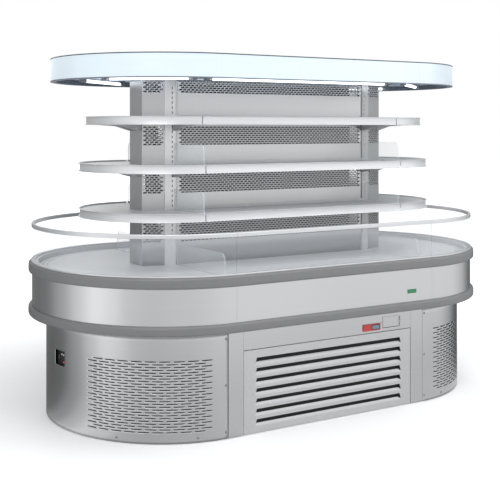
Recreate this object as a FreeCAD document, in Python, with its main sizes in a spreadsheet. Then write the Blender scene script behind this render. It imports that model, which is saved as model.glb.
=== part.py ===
import FreeCAD, Part
import math
import os
import re
import Sketcher
from FreeCAD import Placement, Rotation, Vector

# Open multideck island display fridge, millimetres, +Z up.  The plan is a stadium: a straight
# middle along X with a half round at each end.  The origin is on the floor, at the plan's centre,
# and the customer's front faces -Y.

doc = FreeCAD.newDocument("display_fridge")
sheet = doc.addObject("Spreadsheet::Sheet", "Sizes")
NODES = []

# Plan
END_CENTRE = 604                 # from the middle to each half round's centre
BUMPER_RADIUS = 706              # both bumpers, half their width
CABINET_INSET = 90               # from the bumpers' face in to the lower cabinet's
CABINET_RADIUS = BUMPER_RADIUS - CABINET_INSET  # lower cabinet, half its width
BUMPER_STAND = 18                # bumpers, out from the band
BAND_RADIUS = BUMPER_RADIUS - BUMPER_STAND  # stainless band and glass, half their width
# Sheets and gaps
SHEET_METAL = 1.5
FIT_GAP = 0.3                    # between a piece and its seat
SEAM_GAP = 0.8                   # between two panels that meet edge to edge
SECTION_GAP = 6                  # between two shelf or deck sections, a divider stands in it
FLOOR_GAP = 4                    # under the cabinet's panels
# Heights of the stacked rings, from the floor up
CABINET_HEIGHT = 509
LOWER_BUMPER_HEIGHT = 44
BAND_HEIGHT = 168
UPPER_BUMPER_HEIGHT = 51
CHANNEL_HEIGHT = 8
GLASS_SHOW = 168
RAIL_HEIGHT = 20
BUMPER_ROUND = 9
# Tub and deck
TUB_WALL = 30
TUB_BOTTOM = 42
DECK_DROP = 22                   # deck floor below the rim
PAN_DEPTH = 20
RETURN_WIDTH = 46                # air return strip between the tub's wall and the deck
RETURN_SLOT_LENGTH = 30
RETURN_SLOT_WIDTH = 8
RETURN_SLOT_PITCH = 48
LEDGE_WIDTH = 14
LEDGE_THICKNESS = 2
# Glass
GLASS_THICKNESS = 8
CHANNEL_WALL = 6
RAIL_WALL = 3
RAIL_GRIP = 10                   # glass edge inside the rail
CHANNEL_GRIP = 5
# Frame under the tub
TUBE_SIDE = 40
TUBE_WALL = 2
FRAME_LEVEL = 40
FRAME_INSET = 60
OUTRIGGER_INSET = 70             # frame's end post, in from the end panel
OUTRIGGER_REACH = CABINET_RADIUS - OUTRIGGER_INSET
CROSS_SPACING = 200
MACHINE_PLATE = 2
FOOT_RADIUS = 25
FOOT_THICKNESS = 8
FOOT_STEM_RADIUS = 6
TIE_BAR = 20                     # flat bars between the column's posts
TIE_INSET = 4
# Grille panels, front and rear
CORNER_WIDTH = 83                # from the end panel's seam to the grille panel
GRILLE_HALF_WIDTH = END_CENTRE - CORNER_WIDTH
STRIP_HEIGHT = 108               # plain strip above the grille panel
GRILLE_HEIGHT = CABINET_HEIGHT - STRIP_HEIGHT
PANEL_RETURN = 14
LOUVRE_MARGIN = 66               # plain sheet beside the louvres
LOUVRE_HALF_LENGTH = GRILLE_HALF_WIDTH - LOUVRE_MARGIN
LOUVRE_HEIGHT = 34.5             # the cut, from the blade's foot to the sheet above
LOUVRE_PITCH = 48.6
LOUVRE_DEPTH = 9                 # how far the blade's upper edge leans in
LOUVRE_BASE = 33                 # the lowest blade's foot
LOUVRE_COUNT = 7
LOUVRE_RISE = 16                 # the blade's upper edge above its foot
LOUVRE_BELLY = 2.2               # how far the blade leans in at its knee
LOUVRE_KNEE = 8                  # the knee's height above the blade's foot
LOUVRE_SLANT = 9                 # the cut's ends slope in by this much
# Flap and thermometer on the front top strip
FLAP_INSET = 191                 # from the strip's right end to the flap's left edge
FLAP_LEFT = GRILLE_HALF_WIDTH - FLAP_INSET
FLAP_WIDTH = 116
FLAP_RISE = 16                   # above the strip's lower edge
FLAP_BASE = GRILLE_HEIGHT + FLAP_RISE
FLAP_HEIGHT = 57
FLAP_GAP = 2.6                   # beside the flap's free edge and below it
HINGE_RADIUS = 2.6
HINGE_PIN_RADIUS = 1.4
PIN_CLEARANCE = 0.06
KNUCKLE_LENGTH = 30
LEAF_WIDTH = 16
THERMOMETER_GAP = 130            # from the thermometer's left edge to the flap
THERMOMETER_LEFT = FLAP_LEFT - THERMOMETER_GAP
THERMOMETER_WIDTH = 113
THERMOMETER_RISE = 11            # above the strip's lower edge
THERMOMETER_BASE = GRILLE_HEIGHT + THERMOMETER_RISE
THERMOMETER_HEIGHT = 35
THERMOMETER_DEPTH = 5
DISPLAY_WIDTH = 50
# Vents and control window of the end panels
VENT_SLOT_LENGTH = 184
VENT_SLOT_HEIGHT = 4.5
VENT_PITCH = 197.4
VENT_ROW_PITCH = 12.94
VENT_BASE = 54
VENT_ROWS = 26
VENT_START = 177.4               # first slot's centre, along the round from the seam
VENT_COLUMNS = 3
VENT_STAGGER = 32.9              # every other row starts further round by this
WINDOW_OFFSET = -53
WINDOW_LEVEL = 335
WINDOW_WIDTH = 93
WINDOW_HEIGHT = 70
SCREW_INSET = 13
SCREW_RADIUS = 2.5
SCREW_HEAD_RADIUS = 6
SCREW_HEAD_HEIGHT = 2.5
SCREW_LENGTH = 9
SCREW_EDGE = 34
SCREW_TOP_DROP = 42
# Column
POST_OFFSET = 7                  # posts, out from the half rounds' centres
COLUMN_HALF_LENGTH = END_CENTRE + POST_OFFSET
COLUMN_HALF_WIDTH = 120
NOSE_REACH = 168
NOSE_HALF_WIDTH = 69
POST_WIDTH = 55
POST_DEPTH = 46
POST_WALL = 3
POST_SLOT_PITCH = 25
POST_SLOT_HEIGHT = 12
POST_SLOT_WIDTH = 4
POST_SLOT_INSET = 16
AIR_SLOT_WIDTH = 8
AIR_SLOT_PITCH = 48
AIR_SLOT_MARGIN = 17
AIR_BAND_DECK = 117
AIR_BAND_LOW = 99
AIR_BAND_MIDDLE = 87
AIR_BAND_HIGH = 50
# Shelves
SHELF_OFFSET = 14                # shelves' half rounds, out from the cabinet's
SHELF_CENTRE = END_CENTRE + SHELF_OFFSET
SHELF_REACH = 441
TOP_SHELF_REACH = 408
FASCIA_HEIGHT = 42
FASCIA_DEPTH = 10
FASCIA_WALL = 2
LIP_DROP = 8
UPSTAND = 14
RIM_HEIGHT = CABINET_HEIGHT + LOWER_BUMPER_HEIGHT + BAND_HEIGHT + UPPER_BUMPER_HEIGHT
DECK_HEIGHT = RIM_HEIGHT - DECK_DROP
LOW_SHELF_RISE = 246             # above the deck
MIDDLE_SHELF_RISE = 232          # above the shelf below
HIGH_SHELF_RISE = 236            # above the shelf below
SHELF_LOW = DECK_HEIGHT + LOW_SHELF_RISE
SHELF_MIDDLE = SHELF_LOW + MIDDLE_SHELF_RISE
SHELF_HIGH = SHELF_MIDDLE + HIGH_SHELF_RISE
ARM_WIDTH = 24
ARM_ROOT = 44
ARM_TIP = 14
ARM_SETBACK = 45
END_ARM_OFFSET = 45
DIVIDER_THICKNESS = 4
DIVIDER_HEIGHT = 128
DIVIDER_SETBACK = 26
DIVIDER_ROUND = 34
# Canopy and lamps
CANOPY_OFFSET = 16               # canopy's half rounds, out from the cabinet's
CANOPY_CENTRE = END_CENTRE + CANOPY_OFFSET
CANOPY_RADIUS = 581
CANOPY_RISE = 218                # above the highest shelf
CANOPY_BASE = SHELF_HIGH + CANOPY_RISE
COLUMN_ENTRY = 12                # column's panels, up inside the canopy
COLUMN_TOP = CANOPY_BASE + COLUMN_ENTRY
CANOPY_HEIGHT = 118
CANOPY_TRIM = 5
CANOPY_LIP_WIDTH = 26
CANOPY_RECESS = 28
DIFFUSER_THICKNESS = 8
LAMP_RADIUS = 8
LAMP_LIFT = 7                    # lamps' axes, above the canopy's edge
LAMP_LEVEL = CANOPY_BASE + LAMP_LIFT
LAMP_MARGIN = 33                 # side lamps, in from the half rounds' centres
LAMP_HALF_LENGTH = END_CENTRE - LAMP_MARGIN
LAMP_INSET = 207                 # lamps' axes, in from the canopy's edge
LAMP_OFFSET = CANOPY_RADIUS - LAMP_INSET
END_LAMP_OFFSET = 65             # end lamps, out from the half rounds' centres
END_LAMP_START = END_CENTRE + END_LAMP_OFFSET
END_LAMP_LENGTH = 433
END_LAMP_STAND = 25              # end lamps' inner ends, out from the side lamps' line
END_LAMP_TURN = 38
HOLDER_THICKNESS = 16
HOLDER_WIDTH = 32
# Cooling parts
FAN_SHAFT_RADIUS = 4
CONDENSER_LEFT = -430
CONDENSER_WIDTH = 340
CONDENSER_HEIGHT = 300
CONDENSER_SETBACK = 116          # coil, in from the grille panel
CONDENSER_FRONT = CONDENSER_SETBACK - CABINET_RADIUS
CONDENSER_DEPTH = 55
SHROUD_DEPTH = 45
COIL_RIM = 10
CONDENSER_FAN_RADIUS = 130
FAN_DEPTH = 32
EVAPORATOR_HALF_LENGTH = 420
EVAPORATOR_HALF_WIDTH = 62
EVAPORATOR_HEIGHT = 140
PLATE_MARGIN = 8                 # end plates past the fins, up and down
PLATE_OVERHANG = 6
FAN_RISE = 12                    # evaporator fans above the tub's floor
FAN_TIP_GAP = 6
EVAPORATOR_FAN_RADIUS = 68
EVAPORATOR_FAN_SPACING = 220
EVAPORATOR_FAN_OFFSET = -150
MOTOR_RADIUS = 34
MOTOR_LENGTH = 56
COMPRESSOR_X = 330
COMPRESSOR_Y = -200
COMPRESSOR_RADIUS = 92
COMPRESSOR_BODY = 130
PIPE_RADIUS = 5
BOX_X = -520
BOX_Y = 120
BOX_LENGTH = 220
BOX_WIDTH = 180
BOX_HEIGHT = 200
DRAIN_X = 330
DRAIN_Y = 60
DRAIN_LENGTH = 220
DRAIN_WIDTH = 300
DRAIN_HEIGHT = 45
CONTROL_RECESS = 14              # control box, in from the end panel's outside
CONTROLLER_FACE = END_CENTRE + CABINET_RADIUS - CONTROL_RECESS
CONTROLLER_SIDE = 8
BUTTON_RADIUS = 5
BUTTON_LENGTH = 6
BUTTON_STAND = 3
BUTTON_UP_OFFSET = -28.6         # from the window's middle, like the next two
BUTTON_DOWN_OFFSET = -6.6
ROCKER_OFFSET = 26.4
BUTTON_RISE = 17.5
ROCKER_HALF_WIDTH = 6
ROCKER_HALF_HEIGHT = 11
ROCKER_STAND = 4
ROCKER_DEPTH = 6
ROCKER_ROOM = 2.75               # above and below the rocker, for its swing
ROCKER_POCKET = 13.2

# Each number named above has a row in the sheet, under its name in small letters.
SIZES = {name.lower(): number for name, number in list(globals().items())
         if name.isupper() and isinstance(number, (int, float))}
for row, (alias, number) in enumerate(SIZES.items(), 1):
    sheet.set("A%d" % row, alias)
    sheet.set("B%d" % row, str(number))
    sheet.setAlias("B%d" % row, alias)
doc.recompute()


def mm(alias):
    """The value of one driving size."""
    return float(sheet.get(alias))


def formula(text):
    """A FreeCAD expression: each alias in the text gets the sheet's name."""
    return re.sub(r"[a-z][a-z_]*", lambda word: "Sizes." + word.group(0)
                  if word.group(0) in SIZES else word.group(0), text)


# Levels and radii worked out from the driving sizes
BAND_BASE = "(cabinet_height + lower_bumper_height)"
BAND_TOP = "(%s + band_height)" % BAND_BASE
RIM_TOP = "rim_height"
CHANNEL_TOP = "(%s + channel_height)" % RIM_TOP
RAIL_BASE = "(%s + glass_show)" % CHANNEL_TOP
RAIL_TOP = "(%s + rail_height)" % RAIL_BASE
TUB_RADIUS = "(band_radius - sheet_metal - fit_gap)"
TUB_INNER = "(%s - tub_wall)" % TUB_RADIUS
TUB_BASE = "(cabinet_height + fit_gap)"
TUB_FLOOR = "(%s + tub_bottom)" % TUB_BASE
DECK_LEVEL = "deck_height"
LEDGE_TOP = "(%s - pan_depth - fit_gap)" % DECK_LEVEL
DECK_EDGE = "(%s - fit_gap - return_width)" % TUB_INNER
FRAME_TOP = "(frame_level + tube_side)"
PLATE_TOP = "(%s + machine_plate)" % FRAME_TOP
FRAME_SIDE = "(cabinet_radius - frame_inset)"
COLUMN_END = "(column_half_length + nose_reach)"
CANOPY_TOP = "(canopy_base + canopy_height)"
TRAY_LEVEL = "(canopy_base + canopy_recess)"
GLASS_INNER = "(band_radius - glass_thickness)"
PIPE_Y = "(compressor_y + compressor_radius / 2)"
BUTTON_UP_Y = "(window_offset + button_up_offset)"
BUTTON_DOWN_Y = "(window_offset + button_down_offset)"
BUTTON_Z = "(window_level + button_rise)"
ROCKER_Y = "(window_offset + rocker_offset)"
HINGE_X = "(flap_left + flap_width + fit_gap)"
HINGE_Y = "(-cabinet_radius - hinge_radius - fit_gap)"
HINGE_MIDDLE = "(flap_base + flap_height / 2)"
BEYOND = "(end_centre + 2 * bumper_radius)"   # clear of the whole fridge, sideways
ABOVE = "(2 * canopy_base)"                   # and upwards
POST_START = "(column_half_length + seam_gap / 2)"
POST_END = "(%s + post_width)" % POST_START


# ---- Building blocks -----------------------------------------------------------------------

def bind(thing, **formulas):
    """Bind properties of an object to formulas; a double underscore stands for a dot."""
    for name, text in formulas.items():
        thing.setExpression(name.replace("__", "."), formula(text))
    return thing


def move(thing, x="0", y="0", z="0"):
    return bind(thing, Placement__Base__x=x, Placement__Base__y=y, Placement__Base__z=z)


def block(x, y, z):
    """A box between two formulas on each axis."""
    thing = doc.addObject("Part::Box", "block")
    spans = ["(%s) - (%s)" % (span[1], span[0]) for span in (x, y, z)]
    bind(thing, Length=spans[0], Width=spans[1], Height=spans[2])
    return move(thing, x[0], y[0], z[0])


def rod(radius, length, x, y, z, along="z"):
    """A round bar that starts at a point and runs along an axis."""
    turns = {"z": Rotation(), "x": Rotation(Vector(0, 1, 0), 90), "y": Rotation(Vector(1, 0, 0), -90)}
    thing = doc.addObject("Part::Cylinder", "rod")
    thing.Placement = Placement(Vector(), turns[along])
    bind(thing, Radius=radius, Height=length)
    return move(thing, x, y, z)


def fuse(*things):
    if len(things) == 1:
        return things[0]
    whole = doc.addObject("Part::MultiFuse", "joined")
    whole.Shapes = list(things)
    whole.Refine = True
    return whole


def cut(base, *tools):
    rest = doc.addObject("Part::Cut", "trimmed")
    rest.Base = base
    rest.Tool = fuse(*tools)
    return rest


def common(first, second):
    rest = doc.addObject("Part::Common", "kept")
    rest.Base = first
    rest.Tool = second
    return rest


def group(*things):
    """Separate solids that belong to one sub-part."""
    whole = doc.addObject("Part::Compound", "group")
    whole.Links = list(things)
    return whole


def shape(solids):
    """A group of plain solids, used as one cutting tool."""
    tool = doc.addObject("Part::Feature", "tools")
    tool.Shape = Part.makeCompound(solids)
    return tool


def mirror(thing, normal):
    """The same piece on the other side of the middle."""
    other = doc.addObject("Part::Mirroring", "mirrored")
    other.Source = thing
    other.Base = Vector()
    other.Normal = normal
    return other


def node(name, thing):
    """Name a finished sub-part."""
    thing.Label = name
    NODES.append(thing)
    return thing


def stadium(centre, radius, low, high):
    """A solid slab with straight sides and half round ends."""
    tall = "(%s) - (%s)" % (high, low)
    middle = block(("-(%s)" % centre, centre), ("-(%s)" % radius, radius), (low, high))
    left = rod(radius, tall, "-(%s)" % centre, "0", low)
    right = rod(radius, tall, centre, "0", low)
    return fuse(middle, left, right)


def ring(centre, outer, inner, low, high):
    """A wall that follows the stadium outline, open through the middle."""
    hole = stadium(centre, inner, "(%s) - 1" % low, "(%s) + 1" % high)
    return cut(stadium(centre, outer, low, high), hole)


def front_zone(seam, gap):
    """The space in front of the middle, between the two seams."""
    edge = "(%s - %s / 2)" % (seam, gap)
    return block(("-" + edge, edge), ("-" + BEYOND, "0"), ("0", ABOVE))


def rear_zone(seam, gap):
    edge = "(%s - %s / 2)" % (seam, gap)
    return block(("-" + edge, edge), ("0", BEYOND), ("0", ABOVE))


def right_zone(seam, gap):
    edge = "(%s + %s / 2)" % (seam, gap)
    return block((edge, "2 * " + BEYOND), ("-" + BEYOND, BEYOND), ("0", ABOVE))


def left_zone(seam, gap):
    edge = "-(%s + %s / 2)" % (seam, gap)
    return block(("-2 * " + BEYOND, edge), ("-" + BEYOND, BEYOND), ("0", ABOVE))


def outline(sketch, points):
    """Draw a closed outline whose corners are bound to formulas."""
    count = len(points)
    turn = 2 * math.pi / count
    seeds = [Vector(math.cos(turn * i), math.sin(turn * i), 0) for i in range(count)]
    first = sketch.GeometryCount
    for i in range(count):
        sketch.addGeometry(Part.LineSegment(seeds[i], seeds[(i + 1) % count]))
    for i in range(count):
        after = first + (i + 1) % count
        sketch.addConstraint(Sketcher.Constraint("Coincident", first + i, 2, after, 1))
    for i, (across, up) in enumerate(points):
        for kind, text in (("DistanceX", across), ("DistanceY", up)):
            start = seeds[i].x if kind == "DistanceX" else seeds[i].y
            number = sketch.addConstraint(Sketcher.Constraint(kind, -1, 1, first + i, 1, start))
            sketch.setExpression("Constraints[%d]" % number, formula(text))


def column_prism(grow, low, high):
    """The column's plan, grown by a distance all round: a box with a tapered nose at each end."""
    long_x = "column_half_length"
    long_y = "(column_half_width + %s)" % grow
    end_x = "(%s + %s)" % (COLUMN_END, grow)
    end_y = "(nose_half_width + %s)" % grow
    plan = doc.addObject("Sketcher::SketchObject", "column_plan")
    corners = [("-" + long_x, "-" + long_y), (long_x, "-" + long_y), (end_x, "-" + end_y), (end_x, end_y),
               (long_x, long_y), ("-" + long_x, long_y), ("-" + end_x, end_y), ("-" + end_x, "-" + end_y)]
    outline(plan, corners)
    move(plan, z=low)
    prism = doc.addObject("Part::Extrusion", "column_prism")
    prism.Base = plan
    prism.DirMode = "Custom"
    prism.Dir = Vector(0, 0, 1)
    prism.Solid = True
    return bind(prism, LengthFwd="(%s) - (%s)" % (high, low))


# ---- Frame and feet ------------------------------------------------------------------------

def tube_run(x, y, z):
    """One square steel tube between limits, capped at its ends."""
    inside = [(span[0] + " + tube_wall", span[1] + " - tube_wall") for span in (x, y, z)]
    return cut(block(x, y, z), block(*inside))


def base_frame():
    """Tubes welded end to side: a floor ring with the machine plate, a ring under the tub and posts."""
    end = "(end_centre + tube_side)"
    tip = "(end_centre + outrigger_reach)"
    inner = "(%s - tube_side)" % FRAME_SIDE
    lanes = (("-" + FRAME_SIDE, "-" + inner), (inner, FRAME_SIDE))
    half = ("-tube_side / 2", "tube_side / 2")
    crossings = ("-end_centre - tube_side", "-cross_spacing - tube_side", "cross_spacing", "end_centre")
    runs = []
    for base in ("frame_level", "(cabinet_height - tube_side)"):
        tall = (base, base + " + tube_side")
        for lane in lanes:
            runs.append(tube_run(("-" + end, end), lane, tall))
        for place in crossings:
            runs.append(tube_run((place, place + " + tube_side"), ("-" + inner, inner), tall))
        runs.append(tube_run(("-" + tip, "-" + end), half, tall))
        runs.append(tube_run((end, tip), half, tall))
    under_tub = "cabinet_height - tube_side"
    for x in (("-" + end, "-end_centre"), ("end_centre", end)):
        for lane in lanes:
            runs.append(tube_run(x, lane, (PLATE_TOP, under_tub)))
    for x in (("-" + tip, "-%s + tube_side" % tip), (tip + " - tube_side", tip)):
        runs.append(tube_run(x, half, (FRAME_TOP, under_tub)))
    plate = block(("-" + end, end), ("-" + FRAME_SIDE, FRAME_SIDE), (FRAME_TOP, PLATE_TOP))
    return node("base_frame", group(plate, *runs))


def levelling_feet():
    """Six screw feet: a round pad on the floor and a stem up to the frame."""
    corner_x = "(end_centre + tube_side / 2)"
    corner_y = "(%s - tube_side / 2)" % FRAME_SIDE
    end_x = "(end_centre + outrigger_reach - tube_side / 2)"
    feet = []
    places = [(sx + corner_x, sy + corner_y) for sx in ("-", "") for sy in ("-", "")]
    for x, y in places + [("-" + end_x, "0"), (end_x, "0")]:
        pad = rod("foot_radius", "foot_thickness", x, y, "0")
        stem = rod("foot_stem_radius", "frame_level - fit_gap", x, y, "0")
        feet.append(fuse(pad, stem))
    return node("levelling_feet", group(*feet))


# ---- Cabinet panels ------------------------------------------------------------------------

def vent_slots():
    """Cutters for the staggered rows of slots in the right end panel, front and rear fields."""
    radius = mm("cabinet_radius")
    length, tall = mm("vent_slot_length"), mm("vent_slot_height")
    bow = length ** 2 / (8 * radius)
    depth = 2 * (bow + 2 * mm("sheet_metal"))
    slots = []
    for row in range(int(mm("vent_rows"))):
        level = mm("vent_base") + row * mm("vent_row_pitch")
        shift = mm("vent_stagger") if row % 2 == 0 else 0
        for column in range(int(mm("vent_columns"))):
            arc = mm("vent_start") + shift + column * mm("vent_pitch")
            angle = math.degrees(arc / radius)
            for face in (-1, 1):
                slot = Part.makeBox(length, depth, tall, Vector(-length / 2, -depth / 2, -tall / 2))
                slot.translate(Vector(0, face * radius, level))
                slot.rotate(Vector(), Vector(0, 0, 1), -face * angle)
                slot.translate(Vector(mm("end_centre"), 0, 0))
                slots.append(slot)
    return slots


def screw_levels():
    middle = "((screw_edge + cabinet_height - screw_top_drop) / 2)"
    return ("screw_edge", middle, "(cabinet_height - screw_top_drop)")


def screw_places():
    """Where the end panels' screws stand: just past each seam, three to a seam."""
    x = "(end_centre + screw_inset)"
    return [(sx + x, side, z) for sx in ("-", "") for side in (-1, 1) for z in screw_levels()]


def end_panels():
    """Half round steel skirts with vent slots and screw holes; the left one has a window."""
    inner = "(cabinet_radius - sheet_metal)"
    skin = ring("end_centre", "cabinet_radius", inner, "floor_gap", "cabinet_height")
    tools = [shape(vent_slots())]
    for x, face, z in screw_places():
        if not x.startswith("-"):
            start = "-(cabinet_radius + screw_length)" if face < 0 else "(cabinet_radius - screw_length)"
            tools.append(rod("(screw_radius + fit_gap)", "2 * screw_length", x, start, z, "y"))
    right = cut(common(skin, right_zone("end_centre", "seam_gap")), *tools)
    x = ("-(end_centre + cabinet_radius + sheet_metal)", "-(end_centre + cabinet_radius - window_width / 2)")
    y = ("window_offset - window_width / 2", "window_offset + window_width / 2")
    z = ("window_level - window_height / 2", "window_level + window_height / 2")
    node("end_panel_right", right)
    return node("end_panel_left", cut(mirror(right, Vector(1, 0, 0)), block(x, y, z)))


def corner_fillers():
    """Four folded strips between the grille panels and the round ends."""
    x = ("(grille_half_width + seam_gap / 2)", "(end_centre - seam_gap / 2)")
    z = ("floor_gap", "cabinet_height")
    face = block(x, ("-cabinet_radius", "-(cabinet_radius - sheet_metal)"), z)
    fold_x = (x[0], x[0] + " + sheet_metal")
    fold = block(fold_x, ("-cabinet_radius", "-(cabinet_radius - panel_return)"), z)
    one = fuse(face, fold)
    two = mirror(one, Vector(1, 0, 0))
    across = Vector(0, 1, 0)
    return node("corner_fillers", group(one, two, mirror(one, across), mirror(two, across)))


def origin_plane(body, role):
    """One of the body's own planes or axes."""
    return next(item for item in body.Origin.OriginFeatures if item.Role == role)


def sketch_on(body, role, name, points, offset="0"):
    """A closed sketch on one of the body's own planes, moved off it by a formula."""
    drawing = body.newObject("Sketcher::SketchObject", name)
    drawing.AttachmentSupport = [(origin_plane(body, role), "")]
    drawing.MapMode = "FlatFace"
    outline(drawing, points)
    return bind(drawing, AttachmentOffset__Base__z=offset)


def pad(body, drawing, length, both=False):
    feature = body.newObject("PartDesign::Pad", drawing.Name + "_pad")
    feature.Profile = drawing
    if both:
        feature.SideType = "Symmetric"
    return bind(feature, Length=length)


def pocket(body, drawing, length, both=False):
    feature = body.newObject("PartDesign::Pocket", drawing.Name + "_pocket")
    feature.Profile = drawing
    if both:
        feature.SideType = "Symmetric"
    return bind(feature, Length=length)


def grille_panel(name, face):
    """A folded steel pan with louvres: under each opening the sheet is pressed in to a leaning blade."""
    body = doc.addObject("PartDesign::Body", name)
    front = "-cabinet_radius"
    side = "(grille_half_width - seam_gap / 2)"
    top = "(grille_height - seam_gap / 2)"
    plan = [("-" + side, front), (side, front), (side, front + " + panel_return"),
            ("-" + side, front + " + panel_return")]
    pad(body, sketch_on(body, "XY_Plane", "sheet_plan", plan, "floor_gap"), top + " - floor_gap")
    inner = "(%s - sheet_metal)" % side
    behind = front + " + sheet_metal"
    past = front + " + 2 * panel_return"
    low, high = "floor_gap + sheet_metal", top + " - sheet_metal"
    hollow = [(behind, low), (past, low), (past, high), (behind, high)]
    pocket(body, sketch_on(body, "YZ_Plane", "hollow", hollow), "2 * " + inner, True)
    blade_edge = "louvre_base + louvre_rise"
    cut_top = "louvre_base + louvre_height"
    cut_end = "louvre_half_length - louvre_slant"
    opening = [("-louvre_half_length", "louvre_base"), ("louvre_half_length", "louvre_base"),
               ("louvre_half_length", blade_edge), (cut_end, cut_top),
               ("-(%s)" % cut_end, cut_top), ("-louvre_half_length", blade_edge)]
    through = "2 * cabinet_radius + 2 * sheet_metal"
    first = pocket(body, sketch_on(body, "XZ_Plane", "opening", opening), through, True)
    foot = "louvre_base - sheet_metal"
    knee_z = "louvre_base + louvre_knee"
    blade = [(front, foot), (behind, foot), (behind + " + louvre_belly", knee_z),
             (behind + " + louvre_depth", blade_edge), (front + " + louvre_depth", blade_edge),
             (front + " + louvre_belly", knee_z), (front, "louvre_base")]
    second = pad(body, sketch_on(body, "YZ_Plane", "blade", blade), "2 * louvre_half_length", True)
    rows = body.newObject("PartDesign::LinearPattern", "rows")
    rows.Originals = [first, second]
    rows.Direction = (origin_plane(body, "Z_Axis"), [""])
    rows.Mode = "Extent"
    bind(rows, Length="louvre_pitch * (louvre_count - 1)", Occurrences="louvre_count")
    body.Tip = rows
    if face > 0:
        body.Placement = Placement(Vector(), Rotation(Vector(0, 0, 1), 180))
    return node(name, body)


def strip(face):
    """The plain folded panel above a grille panel, with the flap's opening cut in the front one."""
    side = "(grille_half_width - seam_gap / 2)"
    z = ("(grille_height + seam_gap / 2)", "cabinet_height")
    outer = block(("-" + side, side), ("-cabinet_radius", "-(cabinet_radius - panel_return)"), z)
    inner_x = ("-(%s - sheet_metal)" % side, "(%s - sheet_metal)" % side)
    hollow = block(inner_x, ("-(cabinet_radius - sheet_metal)", "-(cabinet_radius - 2 * panel_return)"),
                   (z[0] + " + sheet_metal", z[1] + " - sheet_metal"))
    pan = cut(outer, hollow)
    if face > 0:
        return mirror(pan, Vector(0, 1, 0))
    through = ("-cabinet_radius - 1", "-cabinet_radius + panel_return / 2")
    return cut(pan, block(("flap_left", "flap_left + flap_width"), through,
                          ("flap_base", "flap_base + flap_height")))


def hinge_leaf():
    """The fixed hinge leaf right of the flap: a plate, two knuckles and the pin through them."""
    x = HINGE_X
    low = "(%s - knuckle_length * 0.75)" % HINGE_MIDDLE
    high = "(%s + knuckle_length * 0.75)" % HINGE_MIDDLE
    gap_low = "(%s - knuckle_length * 0.25 - fit_gap)" % HINGE_MIDDLE
    gap_high = "(%s + knuckle_length * 0.25 + fit_gap)" % HINGE_MIDDLE
    y = ("-cabinet_radius - fit_gap - sheet_metal", "-cabinet_radius - fit_gap")
    plate = block((x, x + " + leaf_width"), y, (low, high))
    barrel = rod("hinge_radius", high + " - " + low, x, HINGE_Y, low)
    space = block((x + " - leaf_width / 2", x + " + hinge_radius + fit_gap"),
                  ("-cabinet_radius - 4 * hinge_radius", "-cabinet_radius"), (gap_low, gap_high))
    pin = rod("hinge_pin_radius", high + " - " + low, x, HINGE_Y, low)
    return fuse(cut(fuse(plate, barrel), space), pin)


def top_strips():
    return node("top_strips", group(strip(-1), hinge_leaf(), strip(1)))


def service_flap():
    """A small cover that swings on a knuckle between the hinge leaf's two."""
    low = "(%s - knuckle_length * 0.25)" % HINGE_MIDDLE
    tall = "knuckle_length * 0.5"
    x = ("flap_left + flap_gap", "flap_left + flap_width - seam_gap")
    z = ("flap_base + flap_gap", "flap_base + flap_height - seam_gap")
    cover = block(x, ("-cabinet_radius", "-(cabinet_radius - sheet_metal)"), z)
    arm = block((HINGE_X + " - leaf_width", HINGE_X),
                ("-cabinet_radius - sheet_metal - fit_gap", "-cabinet_radius"), (low, low + " + " + tall))
    barrel = rod("hinge_radius", tall, HINGE_X, HINGE_Y, low)
    hole = rod("(hinge_pin_radius + pin_clearance)", tall + " + 2", HINGE_X, HINGE_Y, low + " - 1")
    return node("service_flap", cut(fuse(cover, arm, barrel), hole))


def thermometer():
    """A surface mounted thermometer: a shallow case with a display behind its window."""
    x = ("thermometer_left", "thermometer_left + thermometer_width")
    z = ("thermometer_base", "thermometer_base + thermometer_height")
    back = "-(cabinet_radius + fit_gap)"
    front = "-(cabinet_radius + fit_gap + thermometer_depth)"
    case = block(x, (front, back), z)
    edge = "4 * sheet_metal"
    right = "thermometer_left + thermometer_width - " + edge
    recess = (front + " - 1", front + " + thermometer_depth / 2")
    window = block(("%s - display_width" % right, right), recess,
                   ("thermometer_base + " + edge, "thermometer_base + thermometer_height - " + edge))
    return node("thermometer", cut(case, window))


def controller():
    """The control box behind the end panel's window, seated on the frame's end post."""
    face = "-controller_face"
    half_y = "(window_width / 2 + controller_side)"
    half_z = "(window_height / 2 + controller_side)"
    case = block((face, "-(end_centre + outrigger_reach + fit_gap)"),
                 ("window_offset - " + half_y, "window_offset + " + half_y),
                 ("window_level - " + half_z, "window_level + " + half_z))
    holes = []
    for place in (BUTTON_UP_Y, BUTTON_DOWN_Y):
        holes.append(rod("(button_radius + fit_gap)", "(button_length + button_stand)", face + " - 1", place,
                         BUTTON_Z, "x"))
    rocker_y = "(rocker_half_width + fit_gap)"
    rocker_z = "(rocker_half_height + rocker_room)"
    holes.append(block((face + " - 1", face + " + rocker_pocket"),
                       ("%s - %s" % (ROCKER_Y, rocker_y), "%s + %s" % (ROCKER_Y, rocker_y)),
                       ("window_level - " + rocker_z, "window_level + " + rocker_z)))
    return node("controller", cut(case, *holes))


def button(name, place):
    """A round push button that stands out of the control box's face."""
    start = "-(controller_face + button_stand)"
    return node(name, rod("button_radius", "(button_length + button_stand / 2)", start, place, BUTTON_Z, "x"))


def power_switch():
    """A rocker switch, pivoted behind the face."""
    x = ("-(controller_face + rocker_stand)", "-(controller_face - rocker_depth)")
    y = (ROCKER_Y + " - rocker_half_width", ROCKER_Y + " + rocker_half_width")
    z = ("window_level - rocker_half_height", "window_level + rocker_half_height")
    return node("power_switch", block(x, y, z))


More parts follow.
